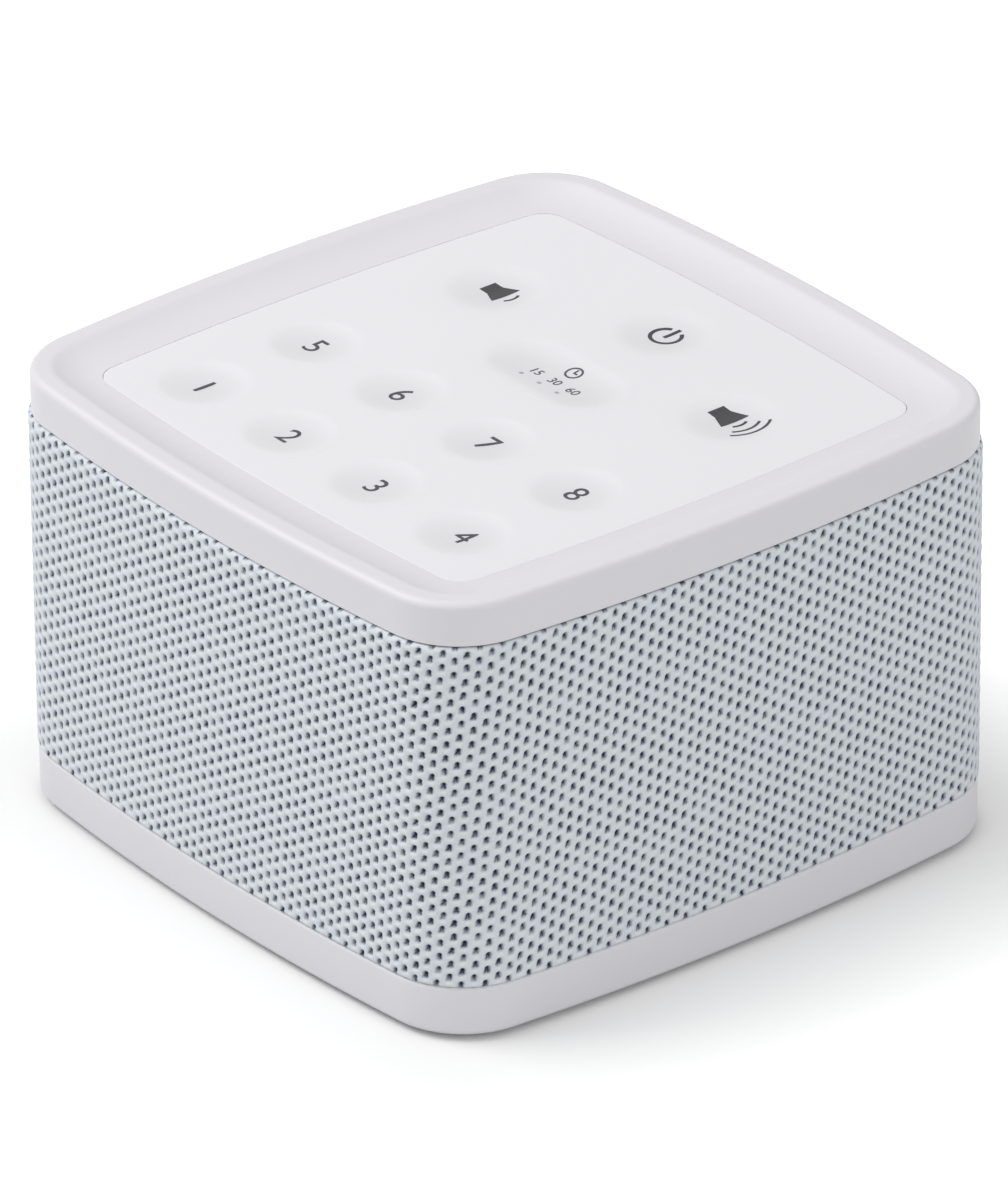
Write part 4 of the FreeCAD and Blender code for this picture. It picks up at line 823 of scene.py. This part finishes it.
class OBJECT_OT_base_band(bpy.types.Operator):
    """Fits the moulded band round the base, nearly flush with the sleeve, and opens it for the socket"""

    bl_idname = "sound_machine.base_band"
    bl_label = "Base Band"

    def execute(self, context):
        look = sizes("sleeve")
        outline = (COVER_HALF, look.side_radius, look.corner_radius)
        around = np.linspace(0, outline_length(*outline), 720, endpoint=False)
        facing = facing_at(around, *outline)
        stand, foot, brim, inside = 0.25 * MM, 1.0 * MM, 0.5 * MM, -1.6 * MM
        opening_radius, opening_length, seam = 2.25 * MM, 12 * MM, 0.02 * MM
        low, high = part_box("base_cap")[0][2], SLEEVE_LOW[2] - seam
        # Its section: a round foot, a round brim, and a plain inside
        turn = np.linspace(0, math.pi / 2, 8)
        outward = np.concatenate([[inside], stand - foot * (1 - np.sin(turn)),
            stand - brim * (1 - np.cos(turn)), [inside, inside]])
        rise = np.concatenate([[low], low + foot * (1 - np.cos(turn)), high - brim * (1 - np.sin(turn)),
            [high, low]])
        rings = [np.stack([*outline_at(facing, *outline, out), np.full_like(facing, level)], axis=-1)
            for out, level in zip(outward, rise)]
        band = mesh_piece("base_band", np.stack(rings, axis=1),
            frame["nodes"]["base_cap"].data.materials[0], merge=True)
        socket_low, socket_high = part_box("power_socket")
        place = ((socket_low[0] + socket_high[0]) / 2, COVER_HALF, (socket_low[2] + socket_high[2]) / 2)
        cutter_mesh = bpy.data.meshes.new("socket opening")
        shape = bmesh.new()
        bmesh.ops.create_cone(shape, cap_ends=True, segments=64, radius1=opening_radius,
            radius2=opening_radius, depth=opening_length,
            matrix=Matrix.Translation(place) @ Matrix.Rotation(math.pi / 2, 4, "X"))
        shape.to_mesh(cutter_mesh)
        shape.free()
        cutter = bpy.data.objects.new("socket opening", cutter_mesh)
        context.scene.collection.objects.link(cutter)
        cut = band.modifiers.new("socket opening", "BOOLEAN")
        cut.operation = "DIFFERENCE"
        cut.solver = "EXACT"
        cut.object = cutter
        cut_band = band.evaluated_get(context.evaluated_depsgraph_get())
        band.data = bpy.data.meshes.new_from_object(cut_band)
        band.modifiers.clear()
        bpy.data.objects.remove(cutter)
        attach(band, "case")
        return {"FINISHED"}


class OBJECT_OT_key_numbers(bpy.types.Operator):
    """Prints the numbers 1 to 8 on the sound keys"""

    bl_idname = "sound_machine.key_numbers"
    bl_label = "Key Numbers"

    def execute(self, context):
        panel = sizes("panel")
        material = ink("number ink", tuple(panel.ink))
        for number, key in enumerate(SOUND_KEYS, start=1):
            printed_number(f"{key}_number", str(number), middle_of(key), panel.number_height, material, key)
        return {"FINISHED"}


class OBJECT_OT_power_and_volume_marks(bpy.types.Operator):
    """Prints the power mark and the two loudspeaker marks"""

    bl_idname = "sound_machine.power_and_volume_marks"
    bl_label = "Power and Volume Marks"

    def execute(self, context):
        material = ink("mark ink", lighter(tuple(sizes("panel").ink), 0.75))
        x, y = (value / MM for value in middle_of("power_key"))
        printed_mark("power_mark", [
            ring_stroke((x, y), 2.66, BOLD, 118, 422),
            bar_stroke((x, y - 0.4), (x, y + 2.8), 0.33, 0.33),
        ], "power_key", material)
        x, y = (value / MM for value in middle_of("volume_down_key"))
        y += 0.2
        printed_mark("volume_down_mark", [
            bar_stroke((x - 2.3, y), (x - 0.5, y), 1.5, 1.5),
            bar_stroke((x - 0.55, y), (x + 2.0, y), 1.48, 2.65),
            ring_stroke((x + 1.5, y), 2.45, MEDIUM, -38, 38),
        ], "volume_down_key", material)
        x, y = (value / MM for value in middle_of("volume_up_key"))
        y += 0.5
        arcs = [ring_stroke((x - 0.9, y), radius, MEDIUM, -half, half)
            for radius, half in ((2.7, 31), (4.6, 36), (6.15, 40))]
        printed_mark("volume_up_mark", [
            bar_stroke((x - 4.2, y), (x - 2.6, y), 1.5, 1.5),
            bar_stroke((x - 2.65, y), (x + 0.2, y), 1.48, 2.6),
        ] + arcs, "volume_up_key", material)
        return {"FINISHED"}


class OBJECT_OT_timer_marks(bpy.types.Operator):
    """Prints the timer key's clock and numbers, and fits its three small light windows"""

    bl_idname = "sound_machine.timer_marks"
    bl_label = "Timer Marks"

    def execute(self, context):
        panel = sizes("panel")
        material = ink("timer ink", lighter(tuple(panel.ink), 1.2))
        x, y = 0.8, 12.5
        numbers_y, numbers_height = 8.9 * MM, 1.65 * MM
        printed_mark("timer_clock", [
            ring_stroke((x, y), 1.45, FINE, 0, 360),
            bar_stroke((x, y), (x, y + 0.95), 0.15, 0.15),
            bar_stroke((x - 0.12, y), (x + 0.72, y), 0.15, 0.15),
        ], TIMER_KEY, material)
        for text, at_x in (("15", -3.2), ("30", 0.9), ("60", 5.0)):
            printed_number(
                f"timer_number_{text}", text, (at_x * MM, numbers_y), numbers_height, material, TIMER_KEY)
        window = ink("light window", WINDOW_GREY)
        low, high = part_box("timer_lights")
        lights_y = (low[1] + high[1]) / 2 / MM
        light_half, window_radius, window_stroke = 0.8, 0.36, 0.359
        pitch = (high[0] - low[0]) / MM / 2 - light_half
        for number, step in enumerate((-1, 0, 1), start=1):
            # A window is a ring stroke so wide that its hole can't be seen
            disc = ring_stroke((step * pitch, lights_y), window_radius, window_stroke, 0, 360, 24)
            printed_mark(f"timer_window_{number}", [disc], TIMER_KEY, window)
        return {"FINISHED"}


class OBJECT_OT_case_finishes(bpy.types.Operator):
    """Gives every piece that the frame carries its finish, by the slot that the record names"""

    bl_idname = "sound_machine.case_finishes"
    bl_label = "Case Finishes"

    def execute(self, context):
        record = frame["record"]
        finishes = {}
        for entry in record["materials"]:
            make = FINISHES[entry["class"]]
            finishes[entry["slot"]] = make(entry["slot"].replace("_", " "), tuple(entry["base_color"][:3]))
        finishes["white_plastic"] = moulded("white moulding", WHITE_MOULDING, 0.42)
        for part in record["subparts"]:
            node = frame["nodes"][part["node"]]
            node.data.materials.clear()
            node.data.materials.append(finishes[part["material_slot"]])
        return {"FINISHED"}


LAMP_AIM = (0, 0, 0.04)
CAMERA_RISE = 0.8 * MM
FILL_SHARE = 0.27


def lamp(name, place, power, wide, high):
    """A rectangular lamp at a place, turned to face the case."""
    light = bpy.data.lights.new(name, "AREA")
    light.shape = "RECTANGLE"
    light.size, light.size_y = wide, high
    light.energy = power
    shown = bpy.data.objects.new(name, light)
    shown.location = place
    shown.rotation_euler = (Vector(LAMP_AIM) - Vector(place)).to_track_quat("-Z", "Y").to_euler()
    bpy.context.scene.collection.objects.link(shown)
    return shown


# Distances from the case's middle at which the glow, a painted light that fades the case's cast shadow,
# begins, reaches its share beside the case, and is nearly whole
GLOW_FROM, GLOW_BESIDE, GLOW_FAR = 0.0535, 0.0555, 0.100
FAR_SHARE = 0.93


def pale_surface(name, colour, glow, share):
    """The floor's or backdrop's finish. The camera and reflections see it as white, and part of it glows as
    painted light that fades the case's cast shadow away from the case: none under the case, the share given
    beside it, and nearly all further out. Distances from the case are the eighth root of the sum of eighth
    powers, whose curves are squares with round corners."""
    recipe = Recipe(name)
    rays = recipe.node("ShaderNodeLightPath")
    seen = rays.worked("MAXIMUM", rays, Wire(recipe, rays.socket.node.outputs["Is Glossy Ray"]))
    across = recipe.node("ShaderNodeSeparateXYZ", {}, [recipe.place()])
    along = Wire(recipe, across.socket.node.outputs["Y"])
    total = across.worked("POWER", across * across, 4.0) + along.worked("POWER", along * along, 4.0)
    out = total.worked("POWER", total, 0.125)
    near = recipe.node("ShaderNodeMapRange", {}, {
        "Value": out, "From Min": GLOW_FROM, "From Max": GLOW_BESIDE, "To Min": 0.0, "To Max": 1.0})
    far = recipe.node("ShaderNodeMapRange", {}, {
        "Value": out, "From Min": GLOW_BESIDE, "From Max": GLOW_FAR, "To Min": share, "To Max": FAR_SHARE})
    share = near * far
    plain = recipe.node("ShaderNodeBsdfDiffuse", {}, {"Color": recipe.mixed(seen, colour, (1.0, 1.0, 1.0))})
    white = recipe.node("ShaderNodeEmission", {}, {"Strength": glow})
    both = recipe.node("ShaderNodeMixShader", {}, [seen * share, plain, white])
    recipe.tree.links.new(both.socket, recipe.tree.nodes["Material Output"].inputs["Surface"])
    recipe.tree.nodes.remove(recipe.shader)
    return recipe.material


def flat_sheet(name, corners, material):
    mesh = bpy.data.meshes.new(name)
    mesh.from_pydata(corners, [], [tuple(range(len(corners)))])
    mesh.materials.append(material)
    shown = bpy.data.objects.new(name, mesh)
    bpy.context.scene.collection.objects.link(shown)
    return shown


class OBJECT_OT_studio(bpy.types.Operator):
    """Sets the floor, the backdrop, the lamps and the camera"""

    bl_idname = "sound_machine.studio"
    bl_label = "Studio"

    def execute(self, context):
        stage = sizes("stage")
        scene = context.scene
        reach, wall_height = 6.0, 4
        floor_white = pale_surface("floor white", tuple(stage.floor), glow=1.25, share=0.10)
        floor = flat_sheet("floor", [(-reach, -reach, 0), (reach, -reach, 0), (reach, reach, 0),
            (-reach, reach, 0)], floor_white)
        wall_white = pale_surface("backdrop white", tuple(stage.floor), glow=1.02, share=0.95)
        wall = flat_sheet("backdrop", [(-reach, -reach, 0), (-reach, reach, 0),
            (-reach, reach, wall_height), (-reach, -reach, wall_height)], wall_white)
        over = lamp("lamp_over_left_front", (-0.75, -0.75, 1.15), stage.lamp, 0.9, 0.9)
        fill = lamp("lamp_right", (1.3, -0.1, 0.55), stage.lamp * FILL_SHARE, 1.0, 0.8)
        world = bpy.data.worlds.new("studio")
        world.use_nodes = True
        sky = world.node_tree.nodes["Background"]
        sky.inputs["Color"].default_value = (1.0, 1.0, 1.0, 1.0)
        sky.inputs["Strength"].default_value = stage.sky
        scene.world = world
        scene.view_settings.view_transform = "Standard"

        # The camera stands back along its own view, moved sideways and up in its picture's plane
        az, el, roll = stage.azimuth, stage.elevation, stage.roll
        back = Vector((math.sin(az) * math.cos(el), -math.cos(az) * math.cos(el), math.sin(el)))
        right = Vector((math.cos(az), math.sin(az), 0))
        up = back.cross(right)
        turned_right = right * math.cos(roll) + up * math.sin(roll)
        turned_up = up * math.cos(roll) - right * math.sin(roll)
        data = bpy.data.cameras.new("camera")
        data.lens = stage.lens
        data.sensor_width = 36
        data.clip_start, data.clip_end = 0.1, 20
        camera = bpy.data.objects.new("camera", data)
        place = turned_right * stage.across + turned_up * stage.above + back * stage.distance
        place.z += CAMERA_RISE
        camera.matrix_world = Matrix.Translation(place) @ Matrix(
            (turned_right, turned_up, back)).transposed().to_4x4()
        scene.collection.objects.link(camera)
        scene.camera = camera
        return {"FINISHED"}


OPERATORS = (
    OBJECT_OT_case_finishes,
    OBJECT_OT_knitted_sleeve,
    OBJECT_OT_base_band,
    OBJECT_OT_touch_skin,
    OBJECT_OT_dished_keys,
    OBJECT_OT_key_numbers,
    OBJECT_OT_power_and_volume_marks,
    OBJECT_OT_timer_marks,
    OBJECT_OT_studio,
)
GROUPS = {"sleeve": SleeveSizes, "panel": PanelSizes, "stage": StageSizes}


class VIEW3D_PT_sound_machine(bpy.types.Panel):
    """Lists the pieces of the sound machine in the order that they are made"""

    bl_label = "Sound Machine"
    bl_space_type = "VIEW_3D"
    bl_region_type = "UI"
    bl_category = "Sound Machine"

    def draw(self, context):
        for operator in OPERATORS:
            self.layout.operator(operator.bl_idname)
        for kind, group in GROUPS.items():
            box = self.layout.box()
            for name in group.__annotations__:
                box.prop(sizes(kind), name)


def register():
    for group in GROUPS.values():
        bpy.utils.register_class(group)
    for kind, group in GROUPS.items():
        setattr(bpy.types.Scene, f"sound_machine_{kind}", bpy.props.PointerProperty(type=group))
    for operator in OPERATORS:
        bpy.utils.register_class(operator)
    bpy.utils.register_class(VIEW3D_PT_sound_machine)


def unregister():
    bpy.utils.unregister_class(VIEW3D_PT_sound_machine)
    for operator in reversed(OPERATORS):
        bpy.utils.unregister_class(operator)
    for kind in GROUPS:
        delattr(bpy.types.Scene, f"sound_machine_{kind}")
    for group in reversed(GROUPS.values()):
        bpy.utils.unregister_class(group)


def main():
    register()
    for operator in OPERATORS:
        group, name = operator.bl_idname.split(".")
        getattr(getattr(bpy.ops, group), name)()


if __name__ == "__main__":
    main()
